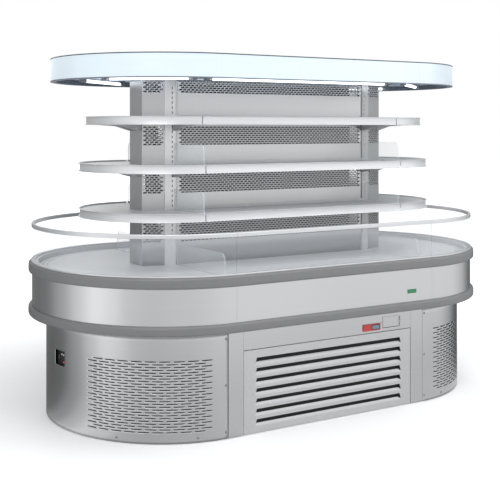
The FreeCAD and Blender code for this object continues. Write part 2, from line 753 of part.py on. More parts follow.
def panel_screws():
    """Pan head screws through the end panels beside each seam."""
    screws = []
    drop = "(cabinet_radius - sqrt(cabinet_radius ^ 2 - screw_inset ^ 2))"
    for x, face, z in screw_places():
        seat = "(cabinet_radius - %s + fit_gap)" % drop
        buried = "screw_length + screw_head_height / 2"
        if face < 0:
            head_y = "-(%s + screw_head_height)" % seat
            shank_y = "-(%s + screw_head_height / 2)" % seat
        else:
            head_y = seat
            shank_y = "(%s - screw_length)" % seat
        head = rod("screw_head_radius", "screw_head_height", x, head_y, z, "y")
        screws.append(fuse(head, rod("screw_radius", buried, x, shank_y, z, "y")))
    return node("panel_screws", group(*screws))


# ---- Bumpers, band, tub --------------------------------------------------------------------

def bumper(name, low, high):
    """A solid rail round the whole plan, rounded on its outer edges."""
    doc.recompute()
    rail = ring("end_centre", "bumper_radius", "(%s + fit_gap)" % TUB_RADIUS, low, high)
    doc.recompute()
    radius = mm("bumper_round")
    outer = [number + 1 for number, edge in enumerate(rail.Shape.Edges) if edge_is_outer(edge)]
    rounded = doc.addObject("Part::Fillet", name)
    rounded.Base = rail
    rounded.Edges = [(number, radius, radius) for number in outer]
    return node(name, rounded)


def edge_is_outer(edge):
    """Whether a level edge lies on the bumper's outer face."""
    box = edge.BoundBox
    middle = edge.valueAt((edge.FirstParameter + edge.LastParameter) / 2)
    reach = math.hypot(max(abs(middle.x) - mm("end_centre"), 0), middle.y)
    return box.ZLength < 0.01 and reach > mm("bumper_radius") - 1


def band_panels():
    """The stainless band round the tub, straight pieces and half round ends."""
    low = BAND_BASE + " + fit_gap"
    high = BAND_TOP + " - fit_gap"

    def skin():
        return ring("end_centre", "band_radius", "(band_radius - sheet_metal)", low, high)

    sides = group(common(skin(), front_zone("end_centre", "seam_gap")),
                  common(skin(), rear_zone("end_centre", "seam_gap")))
    ends = group(common(skin(), left_zone("end_centre", "seam_gap")),
                 common(skin(), right_zone("end_centre", "seam_gap")))
    node("band_sides", sides)
    return node("band_ends", ends)


def insulated_tub():
    """The insulated well that holds the cold deck; the pipes pass through its floor."""
    outer = stadium("end_centre", TUB_RADIUS, TUB_BASE, RIM_TOP)
    inner = stadium("end_centre", TUB_INNER, TUB_FLOOR, RIM_TOP + " + 1")
    hole = rod("(pipe_radius + fit_gap)", "tub_bottom + 2", "compressor_x", PIPE_Y, TUB_BASE + " - 1")
    return node("insulated_tub", cut(outer, inner, hole))


def return_slots():
    """Cutters for the air return slots, even steps along the sides and round the ends."""
    length, width, pitch = mm("return_slot_length"), mm("return_slot_width"), mm("return_slot_pitch")
    wall = mm("band_radius") - mm("sheet_metal") - 2 * mm("fit_gap") - mm("tub_wall")
    middle = wall - mm("return_width") / 2
    level = mm("deck_height")
    half = mm("end_centre")
    corner = Vector(-length / 2, -width / 2, level - width)
    slots = []
    for face in (-1, 1):
        for step in range(int(2 * half / pitch) - 1):
            place = Vector(pitch * (step + 1) - half, face * middle, 0)
            slots.append(Part.makeBox(length, width, 2 * width, corner + place))
    steps = int(math.pi * middle / pitch)
    for side in (-1, 1):
        for step in range(steps):
            slot = Part.makeBox(length, width, 2 * width, corner + Vector(0, -middle, 0))
            slot.rotate(Vector(), Vector(0, 0, 1), side * 180 * (step + 0.5) / steps)
            slot.translate(Vector(side * half, 0, 0))
            slots.append(slot)
    return slots


def return_grille():
    """The slotted strip round the deck, its skirt down to the tub's floor and the deck's ledge."""
    top = "(%s - sheet_metal)" % DECK_LEVEL
    skirt_outer = "(%s + sheet_metal)" % DECK_EDGE
    strip_ring = ring("end_centre", "(%s - fit_gap)" % TUB_INNER, DECK_EDGE, top, DECK_LEVEL)
    skirt = ring("end_centre", skirt_outer, DECK_EDGE, TUB_FLOOR + " + fit_gap", DECK_LEVEL)
    ledge = ring("end_centre", skirt_outer, "(%s - ledge_width)" % DECK_EDGE,
                 LEDGE_TOP + " - ledge_thickness", LEDGE_TOP)
    return node("return_grille", cut(fuse(strip_ring, skirt, ledge), shape(return_slots())))


def deck_pans():
    """Folded steel pans that lie on the ledges and lift out for cleaning."""
    edge = "(%s - seam_gap)" % DECK_EDGE
    inner_y = "(column_half_width + seam_gap)"
    side = "(end_centre - section_gap / 2)"
    z = (LEDGE_TOP + " + fit_gap", DECK_LEVEL)
    under = (z[0] + " - 1", z[1] + " - sheet_metal")

    def straight():
        outer = block(("-" + side, side), ("-" + edge, "-" + inner_y), z)
        inner = block(("-(%s - sheet_metal)" % side, "(%s - sheet_metal)" % side),
                      ("-(%s - sheet_metal)" % edge, "-(%s + sheet_metal)" % inner_y), under)
        return cut(outer, inner)

    def round_end():
        plan = common(stadium("end_centre", edge, z[0], z[1]), right_zone("end_centre", "section_gap"))
        outer = cut(plan, column_prism("seam_gap", z[0] + " - 1", z[1] + " + 1"))
        small = common(stadium("end_centre", "(%s - sheet_metal)" % edge, under[0], under[1]),
                       right_zone("end_centre", "(section_gap + 2 * sheet_metal)"))
        inner = cut(small, column_prism("(seam_gap + sheet_metal)", under[0] + " - 1", under[1] + " + 1"))
        return cut(outer, inner)

    node("deck_front", straight())
    node("deck_rear", mirror(straight(), Vector(0, 1, 0)))
    right = round_end()
    node("deck_ends", group(right, mirror(right, Vector(1, 0, 0))))


# ---- Glass ---------------------------------------------------------------------------------

def glass_channel():
    """The aluminium channel on the tub's rim, with the groove that the glass stands in."""
    outer = "(band_radius + channel_wall)"
    inner = "(%s - channel_wall)" % GLASS_INNER
    solid = ring("end_centre", outer, inner, RIM_TOP + " + fit_gap", CHANNEL_TOP)
    groove = ring("end_centre", "(band_radius + fit_gap)", "(%s - fit_gap)" % GLASS_INNER,
                  CHANNEL_TOP + " - channel_grip", CHANNEL_TOP + " + 1")
    return node("glass_channel", cut(solid, groove))


def top_rail():
    """The rail that caps the glass, in four lengths that meet over the glass's joints."""
    outer = "(band_radius + rail_wall)"
    inner = "(%s - rail_wall)" % GLASS_INNER

    def rail():
        groove = ring("end_centre", "(band_radius + fit_gap)", "(%s - fit_gap)" % GLASS_INNER,
                      RAIL_BASE + " - 1", RAIL_BASE + " + rail_grip + fit_gap")
        return cut(ring("end_centre", outer, inner, RAIL_BASE, RAIL_TOP), groove)

    lengths = [common(rail(), zone("end_centre", "seam_gap"))
               for zone in (front_zone, rear_zone, left_zone, right_zone)]
    return node("top_rail", group(*lengths))


def glass():
    """Four panes: two flat ones and two bent to the half rounds."""
    zones = {"glass_front": front_zone, "glass_rear": rear_zone, "glass_left": left_zone,
             "glass_right": right_zone}
    for name, zone in zones.items():
        pane = ring("end_centre", "band_radius", GLASS_INNER, CHANNEL_TOP + " - channel_grip + fit_gap",
                    RAIL_BASE + " + rail_grip")
        node(name, common(pane, zone("end_centre", "seam_gap")))


# ---- Column --------------------------------------------------------------------------------

def air_bands():
    """The heights of the four slotted bands, each below a shelf or the canopy."""
    highs = ("shelf_low", "shelf_middle", "shelf_high", "column_top")
    heights = ("air_band_deck", "air_band_low", "air_band_middle", "air_band_high")
    return [("%s - air_slot_margin - %s" % (high, tall), "%s - air_slot_margin" % high)
            for high, tall in zip(highs, heights)]


def air_slots(first, last):
    """Upright slots through both faces of the column between two places along X."""
    doc.recompute()
    probe = block(("0", "1"), ("0", "1"), ("0", "1"))
    slots = []
    width, pitch = mm("air_slot_width"), mm("air_slot_pitch")
    reach = 2 * mm("column_half_width")
    for low, high in air_bands():
        bind(probe, Placement__Base__z=low, Height="(%s) - (%s)" % (high, low))
        probe.recompute()
        base, tall = probe.Placement.Base.z, probe.Height.Value
        for step in range(int((last - first - width) / pitch) + 1):
            slots.append(Part.makeBox(width, 2 * reach, tall, Vector(first + step * pitch, -reach, base)))
    doc.removeObject(probe.Name)
    return slots


def column_shell():
    low = DECK_LEVEL + " + fit_gap"
    outer = column_prism("0", low, "column_top")
    inner = column_prism("-sheet_metal", low + " - 1", "column_top + 1")
    return cut(outer, inner)


def column_panels():
    """Slotted steel faces of the column, through which the cold air leaves."""
    half = mm("column_half_length") - mm("air_slot_margin")
    slots = air_slots(-half, half)
    for name, zone in (("column_panel_front", front_zone), ("column_panel_rear", rear_zone)):
        node(name, cut(common(column_shell(), zone("column_half_length", "seam_gap")), shape(slots)))


def column_noses():
    """The tapered covers that close the column's two ends."""
    right = common(column_shell(), right_zone("(%s + fit_gap)" % POST_END, "0"))
    start = mm("column_half_length") + mm("seam_gap") / 2 + mm("post_width") + mm("air_slot_margin")
    slots = air_slots(start, mm("column_half_length") + mm("nose_reach") - mm("air_slot_width"))
    cover = cut(right, shape(slots))
    return node("column_noses", group(cover, mirror(cover, Vector(1, 0, 0))))


def column_frame():
    """Four slotted posts from the tub's floor to the canopy, tied at both ends, with the deck's ledge."""
    low = TUB_FLOOR + " + fit_gap"
    high = "(%s - canopy_trim - fit_gap)" % CANOPY_TOP
    start, end = POST_START, POST_END
    outer_y = "(column_half_width + post_wall)"
    inner_y = "(column_half_width - post_depth)"

    def posts():
        zone = block((start, end), ("-" + outer_y, "-" + inner_y), (low, high))
        outside = common(column_prism("0", low, high), zone)
        hollow_zone = block((start + " + post_wall", end + " - post_wall"),
                            ("-" + outer_y, "-(%s + post_wall)" % inner_y), (low + " - 1", high + " + 1"))
        inside = common(column_prism("-post_wall", low + " - 1", high + " + 1"), hollow_zone)
        return cut(outside, inside)

    front_right = posts()
    rear_right = mirror(front_right, Vector(0, 1, 0))
    four = [front_right, rear_right]
    four += [mirror(post, Vector(1, 0, 0)) for post in (front_right, rear_right)]
    ties = []
    bar_y = (inner_y + " + tie_inset", inner_y + " + tie_inset + tie_bar")
    for base in (TUB_FLOOR + " + fit_gap", "(%s + canopy_trim)" % TRAY_LEVEL):
        z = (base, base + " + tie_bar")
        ties.append(block(("-" + end, end), bar_y, z))
        ties.append(block(("-" + end, end), ("-(%s)" % bar_y[1], "-(%s)" % bar_y[0]), z))
        for x in ((start, start + " + tie_bar"), ("-(%s + tie_bar)" % start, "-" + start)):
            ties.append(block(x, ("-(%s)" % bar_y[1], bar_y[1]), z))
    ledge = cut(column_prism("ledge_width", LEDGE_TOP + " - ledge_thickness", LEDGE_TOP),
                column_prism("-ledge_width", LEDGE_TOP + " - ledge_thickness - 1", LEDGE_TOP + " + 1"))
    frame = fuse(*(four + ties + [ledge]))
    return node("column_frame", cut(frame, shape(post_slots())))


def post_slots():
    """Cutters for the hook slots in the posts, one column of them in each face."""
    width, tall, pitch = mm("post_slot_width"), mm("post_slot_height"), mm("post_slot_pitch")
    x = mm("column_half_length") + mm("post_slot_inset")
    base = mm("shelf_low") - 4 * pitch
    depth = mm("post_depth") / 2
    reach = mm("column_half_width") + mm("post_wall")
    count = int((mm("column_top") - base - tall) / pitch)
    slots = []
    for step in range(count):
        for place in (x, -x - width):
            for y in (-reach, reach - depth):
                slots.append(Part.makeBox(width, depth, tall, Vector(place, y, base + step * pitch)))
    return slots


# ---- Shelves -------------------------------------------------------------------------------

TIERS = (("high", "shelf_high", "top_shelf_reach"), ("middle", "shelf_middle", "shelf_reach"),
         ("low", "shelf_low", "shelf_reach"))


def price_rail(base, reach):
    """A channel section all round the shelf's edge, open to the front for price tickets."""
    top = base + " + fascia_height"
    back = "(%s - fascia_depth)" % reach
    solid = ring("shelf_centre", reach, back, base, top)
    groove = ring("shelf_centre", "(%s + 1)" % reach, "(%s + fascia_wall)" % back,
                  base + " + fascia_wall", top + " - fascia_wall")
    return cut(solid, groove)


def pan_levels(base):
    top = "(%s + fascia_height - lip_drop)" % base
    return (top + " - pan_depth", top)


def straight_shelf(name, base, reach, rear):
    """A folded pan with an upstand at its back edge and the price rail along its front."""
    edge = "(%s - fascia_depth - fit_gap)" % reach
    inner_y = "(column_half_width + seam_gap)"
    side = "(shelf_centre - section_gap / 2)"
    low, high = pan_levels(base)
    outer = block(("-" + side, side), ("-" + edge, "-" + inner_y), (low, high))
    inner = block(("-(%s - sheet_metal)" % side, "(%s - sheet_metal)" % side),
                  ("-(%s - sheet_metal)" % edge, "-(%s + sheet_metal)" % inner_y),
                  (low + " - 1", high + " - sheet_metal"))
    back = block(("-" + side, side), ("-(%s + sheet_metal)" % inner_y, "-" + inner_y),
                 (high + " - sheet_metal", high + " + upstand"))
    rail = common(price_rail(base, reach), front_zone("shelf_centre", "section_gap"))
    whole = group(fuse(cut(outer, inner), back), rail)
    return node(name, mirror(whole, Vector(0, 1, 0)) if rear else whole)


def round_shelves(name, base, reach):
    """The two half round shelf ends of one tier, each a folded pan and its price rail."""
    edge = "(%s - fascia_depth - fit_gap)" % reach
    low, high = pan_levels(base)
    under = (low + " - 1", high + " - sheet_metal")
    plan = common(stadium("shelf_centre", edge, low, high), right_zone("shelf_centre", "section_gap"))
    outer = cut(plan, column_prism("seam_gap", low + " - 1", high + " + 1"))
    small = common(stadium("shelf_centre", "(%s - sheet_metal)" % edge, under[0], under[1]),
                   right_zone("shelf_centre", "(section_gap + 2 * sheet_metal)"))
    inner = cut(small, column_prism("(seam_gap + sheet_metal)", under[0] + " - 1", under[1] + " + 1"))
    rail = common(price_rail(base, reach), right_zone("shelf_centre", "section_gap"))
    right = group(cut(outer, inner), rail)
    return node(name, group(right, mirror(right, Vector(1, 0, 0))))


def shelves():
    for tier, base, reach in TIERS:
        straight_shelf("shelf_%s_front" % tier, base, reach, False)
        straight_shelf("shelf_%s_rear" % tier, base, reach, True)
        round_shelves("shelf_%s_ends" % tier, base, reach)


def shelf_brackets():
    """Arms under every section joint and under each round end, hooked to the column."""
    arms = []
    for tier, base, reach in TIERS:
        edge = "(%s - arm_setback)" % reach
        top = "(%s - fit_gap)" % pan_levels(base)[0]
        side_arm = bracket("shelf_centre", "(column_half_width + fit_gap)", edge, top)
        end_arm = bracket("end_arm_offset", "(%s + fit_gap)" % COLUMN_END, "(shelf_centre + %s)" % edge,
                          top, "XZ_Plane")
        for one in (side_arm, end_arm):
            other = mirror(one, Vector(0, 1, 0))
            arms += [one, other, mirror(one, Vector(1, 0, 0)), mirror(other, Vector(1, 0, 0))]
    return node("shelf_brackets", group(*arms))


def bracket(place, near, far, top, plane="YZ_Plane"):
    """One arm: its side view, the curved underside as three straight falls, made arm_width thick."""
    body = doc.addObject("PartDesign::Body", "arm")
    bend = "(%s + (%s - %s) * 0.45)" % (near, far, near)
    points = [(near, top), (near, top + " - arm_root"), (near + " + arm_width / 2", top + " - arm_root"),
              (bend, top + " - arm_tip * 1.5"), (far, top + " - arm_tip"), (far, top)]
    if plane == "YZ_Plane":
        points = [("-(%s)" % across, up) for across, up in points]
    drawing = sketch_on(body, plane, "arm_side", points, place)
    pad(body, drawing, "arm_width", True)
    return body


def divider(seam, base, reach):
    """A clear upright plate in a section joint, its upper front corner rounded."""
    near = "(column_half_width + seam_gap + 2 * sheet_metal)"
    far = "(%s - divider_setback)" % reach
    low = "(%s)" % base
    high = "(%s + divider_height)" % low
    x = ("%s - divider_thickness / 2" % seam, "%s + divider_thickness / 2" % seam)
    lower = block(x, ("-" + far, "-" + near), (low, high + " - divider_round"))
    upper = block(x, ("-(%s - divider_round)" % far, "-" + near), (low, high))
    corner = rod("divider_round", "divider_thickness", x[0], "-(%s - divider_round)" % far,
                 high + " - divider_round", "x")
    return fuse(lower, upper, corner)


def dividers():
    """Clear dividers between the sections of the deck and of the two lower shelves."""
    plates = [divider("end_centre", "(%s + fit_gap)" % LEDGE_TOP, DECK_EDGE)]
    for tier, base, reach in TIERS[1:]:
        plates.append(divider("shelf_centre", pan_levels(base)[0], reach))
    whole = []
    for plate in plates:
        other = mirror(plate, Vector(0, 1, 0))
        whole += [plate, other, mirror(plate, Vector(1, 0, 0)), mirror(other, Vector(1, 0, 0))]
    return node("dividers", group(*whole))


# ---- Canopy --------------------------------------------------------------------------------

def canopy():
    """A lit box on the posts: underside tray with its trim, diffuser ring and top cover."""
    lip_inner = "(canopy_radius - canopy_lip_width)"
    centre = "canopy_centre"
    trim_top = "canopy_base + sheet_metal"
    trim = ring(centre, "canopy_radius", lip_inner, "canopy_base", trim_top)
    outer_lip = ring(centre, "canopy_radius", "(canopy_radius - sheet_metal)", "canopy_base",
                     "canopy_base + canopy_trim")
    inner_wall = ring(centre, "(%s + sheet_metal)" % lip_inner, lip_inner, "canopy_base",
                      TRAY_LEVEL + " + sheet_metal")
    plate = stadium(centre, "(%s + sheet_metal)" % lip_inner, TRAY_LEVEL, TRAY_LEVEL + " + sheet_metal")
    hole = column_prism("seam_gap", TRAY_LEVEL + " - 1", TRAY_LEVEL + " + sheet_metal + 1")
    node("canopy_tray", cut(fuse(trim, outer_lip, inner_wall, plate), hole))
    cover_base = "(%s - canopy_trim)" % CANOPY_TOP
    diffuser_outer = "(canopy_radius - sheet_metal - fit_gap)"
    node("canopy_diffuser", ring(centre, diffuser_outer, "(%s - diffuser_thickness)" % diffuser_outer,
                                 "(%s + fit_gap)" % trim_top, cover_base + " - fit_gap"))
    cover = stadium(centre, "canopy_radius", cover_base, CANOPY_TOP)
    hollow = stadium(centre, "(canopy_radius - 2 * sheet_metal)", cover_base + " + sheet_metal",
                     CANOPY_TOP + " - sheet_metal")
    return node("canopy_cover", cut(cover, hollow))


def lamps():
    """Fluorescent tubes under the canopy, two along the sides and a pair at each end."""
    half = "lamp_half_length"
    tubes = []
    holders = []
    holder_top = "(%s - fit_gap)" % TRAY_LEVEL
    front = rod("lamp_radius", "2 * " + half, "-" + half, "-lamp_offset", "lamp_level", "x")
    holder = block((half + " + fit_gap", half + " + fit_gap + holder_thickness"),
                   ("-lamp_offset - holder_width / 2", "-lamp_offset + holder_width / 2"),
                   ("lamp_level - lamp_radius", holder_top))
    left_holder = mirror(holder, Vector(1, 0, 0))
    tubes += [front, mirror(front, Vector(0, 1, 0))]
    for one in (holder, left_holder):
        holders += [one, mirror(one, Vector(0, 1, 0))]
    slope = Rotation(Vector(0, 0, 1), mm("end_lamp_turn"))
    short = rod("lamp_radius", "end_lamp_length", "end_lamp_start",
                "-lamp_offset - end_lamp_stand", "lamp_level", "x")
    short.Placement.Rotation = slope * short.Placement.Rotation
    near = block(("0", "holder_thickness"), ("0", "holder_width"), ("lamp_level - lamp_radius", holder_top))
    near.Placement.Rotation = slope
    place_holder(near, "-(holder_thickness + fit_gap)")
    far = block(("0", "holder_thickness"), ("0", "holder_width"), ("lamp_level - lamp_radius", holder_top))
    far.Placement.Rotation = slope
    place_holder(far, "(end_lamp_length + fit_gap)")
    for one, kept in ((short, tubes), (near, holders), (far, holders)):
        other = mirror(one, Vector(0, 1, 0))
        kept += [one, other, mirror(one, Vector(1, 0, 0)), mirror(other, Vector(1, 0, 0))]
    node("lamp_tubes", group(*tubes))
    return node("lamp_holders", group(*holders))


def place_holder(holder, distance):
    """Put a holder's corner beside the sloping lamp's axis, a distance along it."""
    cosine, sine = "cos(end_lamp_turn * 1 deg)", "sin(end_lamp_turn * 1 deg)"
    half = "holder_width / 2"
    start_y = "-lamp_offset - end_lamp_stand"
    move(holder, "end_lamp_start + %s * %s + %s * %s" % (distance, cosine, half, sine),
         "%s + %s * %s - %s * %s" % (start_y, distance, sine, half, cosine), "lamp_level - lamp_radius")


# ---- Cooling -------------------------------------------------------------------------------

CONDENSER_X = "(condenser_left + condenser_width / 2)"
CONDENSER_Z = "(%s + fit_gap + condenser_height / 2)" % PLATE_TOP
SHROUD_BACK = "(condenser_front + condenser_depth + shroud_depth)"
EVAPORATOR_Z = "(%s + fit_gap + evaporator_fan_radius + fan_rise)" % TUB_FLOOR
BLADES = 5
BLADE_PITCH = 32                 # degrees


def condenser_coil():
    """The finned coil behind the front louvres, with its fan shroud."""
    x = ("condenser_left", "condenser_left + condenser_width")
    z = (PLATE_TOP + " + fit_gap", PLATE_TOP + " + fit_gap + condenser_height")
    y = ("condenser_front", "condenser_front + condenser_depth")
    shroud = block(x, (y[1], SHROUD_BACK), z)
    hole = rod("(condenser_fan_radius + fan_tip_gap)", "shroud_depth + 2", CONDENSER_X, y[1] + " - 1",
               CONDENSER_Z, "y")
    fins = block((x[0] + " + coil_rim + fit_gap", x[1] + " - coil_rim - fit_gap"), y,
                 (z[0] + " + coil_rim + fit_gap", z[1] + " - coil_rim - fit_gap"))
    inside = block((x[0] + " + coil_rim", x[1] + " - coil_rim"), (y[0] + " - 1", y[1] + " + 1"),
                   (z[0] + " + coil_rim", z[1] + " - coil_rim"))
    edge = cut(block(x, y, z), inside)
    return node("condenser_coil", group(fins, fuse(edge, cut(shroud, hole))))


def fan(name, radius, x, y, z):
    """An axial fan: a bored hub with five pitched blades, turned to face along Y."""
    blade = doc.addObject("Part::Box", "blade")
    blade.Placement = Placement(Vector(), Rotation(Vector(1, 0, 0), BLADE_PITCH))
    bind(blade, Length=radius + " * 0.78", Width=radius + " * 0.42", Height="sheet_metal",
         Placement__Base__x=radius + " * 0.2", Placement__Base__y="-%s * 0.18" % radius,
         Placement__Base__z="fan_depth / 2 - %s * 0.11" % radius)
    blades = []
    for step in range(BLADES):
        turned = group(blade)
        turned.Placement = Placement(Vector(), Rotation(Vector(0, 0, 1), 360 / BLADES * step))
        blades.append(turned)
    hub = rod(radius + " * 0.3", "fan_depth", "0", "0", "0")
    bore = rod("(fan_shaft_radius + pin_clearance)", "fan_depth + 2", "0", "0", "-1")
    wheel = cut(fuse(hub, *blades), bore)
    wheel.Placement = Placement(Vector(), Rotation(Vector(1, 0, 0), -90))
    move(wheel, x, y, z)
    return node(name, wheel)


def fans():
    fan("condenser_fan", "condenser_fan_radius", CONDENSER_X,
        "(condenser_front + condenser_depth + shroud_depth / 2 - fan_depth / 2)", CONDENSER_Z)
    fan("evaporator_fan_left", "evaporator_fan_radius", "-evaporator_fan_spacing", "evaporator_fan_offset",
        EVAPORATOR_Z)
    fan("evaporator_fan_right", "evaporator_fan_radius", "evaporator_fan_spacing", "evaporator_fan_offset",
        EVAPORATOR_Z)


def motor(x, y, z, side, floor):
    """A fan motor on a pedestal; its shaft runs through the fan's hub."""
    if side > 0:
        start = y
        shaft_y = "(%s - fan_depth - fit_gap)" % y
    else:
        start = "(%s - motor_length)" % y
        shaft_y = "(%s - motor_length / 2 + fit_gap)" % y
    body = rod("motor_radius", "motor_length", x, start, z, "y")
    shaft = rod("fan_shaft_radius", "fan_depth + motor_length / 2", x, shaft_y, z, "y")
    foot = block((x + " - motor_radius / 2", x + " + motor_radius / 2"), (start, start + " + motor_length"),
                 (floor, z))
    return fuse(body, foot, shaft)


def fan_motors():
    behind = "(%s + fit_gap)" % SHROUD_BACK
    before = "(evaporator_fan_offset - 3 * fit_gap)"
    motors = [motor(CONDENSER_X, behind, CONDENSER_Z, 1, PLATE_TOP + " + fit_gap")]
    for side in ("-", ""):
        motors.append(motor(side + "evaporator_fan_spacing", before, EVAPORATOR_Z, -1,
                            TUB_FLOOR + " + fit_gap"))
    return node("fan_motors", group(*motors))


def evaporator_coil():
    """The finned coil in the column's foot, between its two end plates."""
    half, wide = "evaporator_half_length", "evaporator_half_width"
    z = (TUB_FLOOR + " + fit_gap", TUB_FLOOR + " + fit_gap + evaporator_height")
    fins = block(("-" + half, half), ("-" + wide, wide), (z[0] + " + plate_margin", z[1] + " - plate_margin"))
    plate = block((half, half + " + 2 * sheet_metal"),
                  ("-%s - plate_overhang" % wide, wide + " + plate_overhang"), z)
    return node("evaporator_coil", fuse(fins, plate, mirror(plate, Vector(1, 0, 0))))


def compressor():
    """A hermetic compressor: a welded steel pot on a foot plate."""
    base = PLATE_TOP + " + fit_gap"
    plate = block(("compressor_x - compressor_radius", "compressor_x + compressor_radius"),
                  ("compressor_y - compressor_radius", "compressor_y + compressor_radius"),
                  (base, base + " + 4 * sheet_metal"))
    pot = rod("compressor_radius", "compressor_body", "compressor_x", "compressor_y",
              base + " + 2 * sheet_metal")
    dome = doc.addObject("Part::Ellipsoid", "dome")
    bind(dome, Radius1="compressor_radius / 2", Radius2="compressor_radius", Radius3="compressor_radius")
    move(dome, "compressor_x", "compressor_y", base + " + 2 * sheet_metal + compressor_body")
    return node("compressor", fuse(plate, pot, dome))


def pipe(points):
    """Copper pipe through square corners: a rod for each run, a ball at each corner."""
    pieces = []
    for start, end in zip(points, points[1:]):
        axis = next(i for i in range(3) if start[i] != end[i])
        length = "(%s) - (%s)" % (end[axis], start[axis])
        pieces.append(rod("pipe_radius", length, *start, "xyz"[axis]))
    for corner in points[1:-1]:
        ball = doc.addObject("Part::Sphere", "elbow")
        bind(ball, Radius="pipe_radius")
        pieces.append(move(ball, *corner))
    return fuse(*pieces)


def pipework():
    """The suction pipe from the tub to the compressor's dome."""
    dome_top = "(%s + 3 * fit_gap + 2 * sheet_metal + compressor_body + compressor_radius / 2)" % PLATE_TOP
    low = ("compressor_x", PIPE_Y, dome_top)
    top = "(%s + evaporator_height / 2)" % TUB_FLOOR
    high = ("compressor_x", PIPE_Y, top)
    coil = ("compressor_x", "-(evaporator_half_width + fit_gap)", top)
    return node("pipework", pipe([low, high, coil]))


def boxes():
    """The electrical box and the drain pan on the machine plate."""
    base = PLATE_TOP + " + fit_gap"
    spans = [("box_x", "box_x + box_length"), ("box_y", "box_y + box_width"), (base, base + " + box_height")]
    inside = [(span[0] + " + sheet_metal", span[1] + " - sheet_metal") for span in spans]
    node("electrical_box", cut(block(*spans), block(*inside)))
    x = ("drain_x", "drain_x + drain_length")
    y = ("drain_y", "drain_y + drain_width")
    outer = block(x, y, (base, base + " + drain_height"))
    inner = block((x[0] + " + sheet_metal", x[1] + " - sheet_metal"),
                  (y[0] + " + sheet_metal", y[1] + " - sheet_metal"),
                  (base + " + sheet_metal", base + " + drain_height + 1"))
    return node("drain_pan", cut(outer, inner))


# ---- The whole fridge ----------------------------------------------------------------------

base_frame()
levelling_feet()
end_panels()
corner_fillers()
grille_panel("grille_front", -1)
grille_panel("grille_rear", 1)
top_strips()
service_flap()
thermometer()
controller()
button("button_up", BUTTON_UP_Y)
button("button_down", BUTTON_DOWN_Y)
power_switch()
panel_screws()
bumper("lower_bumper", "cabinet_height", BAND_BASE)
bumper("upper_bumper", BAND_TOP, RIM_TOP)
band_panels()
insulated_tub()
return_grille()
deck_pans()
glass_channel()
top_rail()
glass()
column_frame()
column_panels()
column_noses()
shelves()
shelf_brackets()
dividers()
canopy()
lamps()
condenser_coil()
fans()
fan_motors()
evaporator_coil()
compressor()
pipework()
boxes()

doc.recompute()
for thing in doc.Objects:
    if "Invalid" in thing.State or "Error" in thing.State:
        raise RuntimeError("%s (%s) failed to compute" % (thing.Name, thing.Label))
os.makedirs("parts", exist_ok=True)
for part in NODES:
    if part.Shape.isNull() or not part.Shape.isValid():
        raise RuntimeError("%s has no valid shape" % part.Label)
for part in NODES:
    part.Shape.exportStep("parts/%s.step" % part.Label)
    print("%-22s %3d solids %12.0f mm3" % (part.Label, len(part.Shape.Solids), part.Shape.Volume))
print(len(NODES), "sub-parts")
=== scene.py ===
import math

import bpy
import numpy as np
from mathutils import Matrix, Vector


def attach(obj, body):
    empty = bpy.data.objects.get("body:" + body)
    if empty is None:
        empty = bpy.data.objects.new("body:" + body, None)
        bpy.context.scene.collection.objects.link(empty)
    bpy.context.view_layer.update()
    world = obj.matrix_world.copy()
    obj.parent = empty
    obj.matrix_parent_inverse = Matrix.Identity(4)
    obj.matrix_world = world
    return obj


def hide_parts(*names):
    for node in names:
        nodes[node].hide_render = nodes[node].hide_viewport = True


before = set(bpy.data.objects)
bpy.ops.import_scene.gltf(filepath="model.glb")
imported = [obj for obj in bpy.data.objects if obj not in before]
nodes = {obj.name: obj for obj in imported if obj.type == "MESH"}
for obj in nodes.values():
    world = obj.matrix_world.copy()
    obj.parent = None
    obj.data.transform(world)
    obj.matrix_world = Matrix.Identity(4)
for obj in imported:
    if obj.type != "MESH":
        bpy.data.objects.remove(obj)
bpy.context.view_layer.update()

# ---- Studio ----------------------------------------------------------------------------------
# A pale floor and a soft white room, white to the camera, in polished metal and through glass, with
# four soft lamps and a low paper tent that shows only in reflections.

CAMERA_PLACE = (-2.9697, -4.3924, 1.4488)
CAMERA_TURN = math.radians(30.2)      # from +Y towards +X
FOCAL_PIXELS = 956.6                  # in the photograph's 500 pixel frame
OPTICAL_AXIS = (197.5, 127.8)         # where the camera's axis meets that frame
FRAME_PIXELS = 500
SENSOR = 36.0

camera_data = bpy.data.cameras.new("camera")
camera_data.sensor_width = SENSOR
camera_data.lens = FOCAL_PIXELS / FRAME_PIXELS * SENSOR
camera_data.shift_x = (FRAME_PIXELS / 2 - OPTICAL_AXIS[0]) / FRAME_PIXELS
camera_data.shift_y = -(FRAME_PIXELS / 2 - OPTICAL_AXIS[1]) / FRAME_PIXELS
camera = bpy.data.objects.new("camera", camera_data)
camera.location = CAMERA_PLACE
camera.rotation_euler = (math.pi / 2, 0, -CAMERA_TURN)
bpy.context.scene.collection.objects.link(camera)
bpy.context.scene.camera = camera
bpy.context.scene.view_settings.view_transform = "Standard"


def tree_of(owner):
    """Turn nodes on and return the tree's nodes and a function that links two sockets."""
    owner.use_nodes = True
    tree = owner.node_tree
    tree.nodes.clear()
    return tree.nodes, tree.links.new


room = bpy.data.worlds.new("room")
bpy.context.scene.world = room
node, link = tree_of(room)
room_out = node.new("ShaderNodeOutputWorld")
seen = node.new("ShaderNodeBackground")
seen.inputs["Color"].default_value = (1, 1, 1, 1)
lighting = node.new("ShaderNodeBackground")
lighting.inputs["Color"].default_value = (0.97, 0.985, 1, 1)
lighting.inputs["Strength"].default_value = 0.62


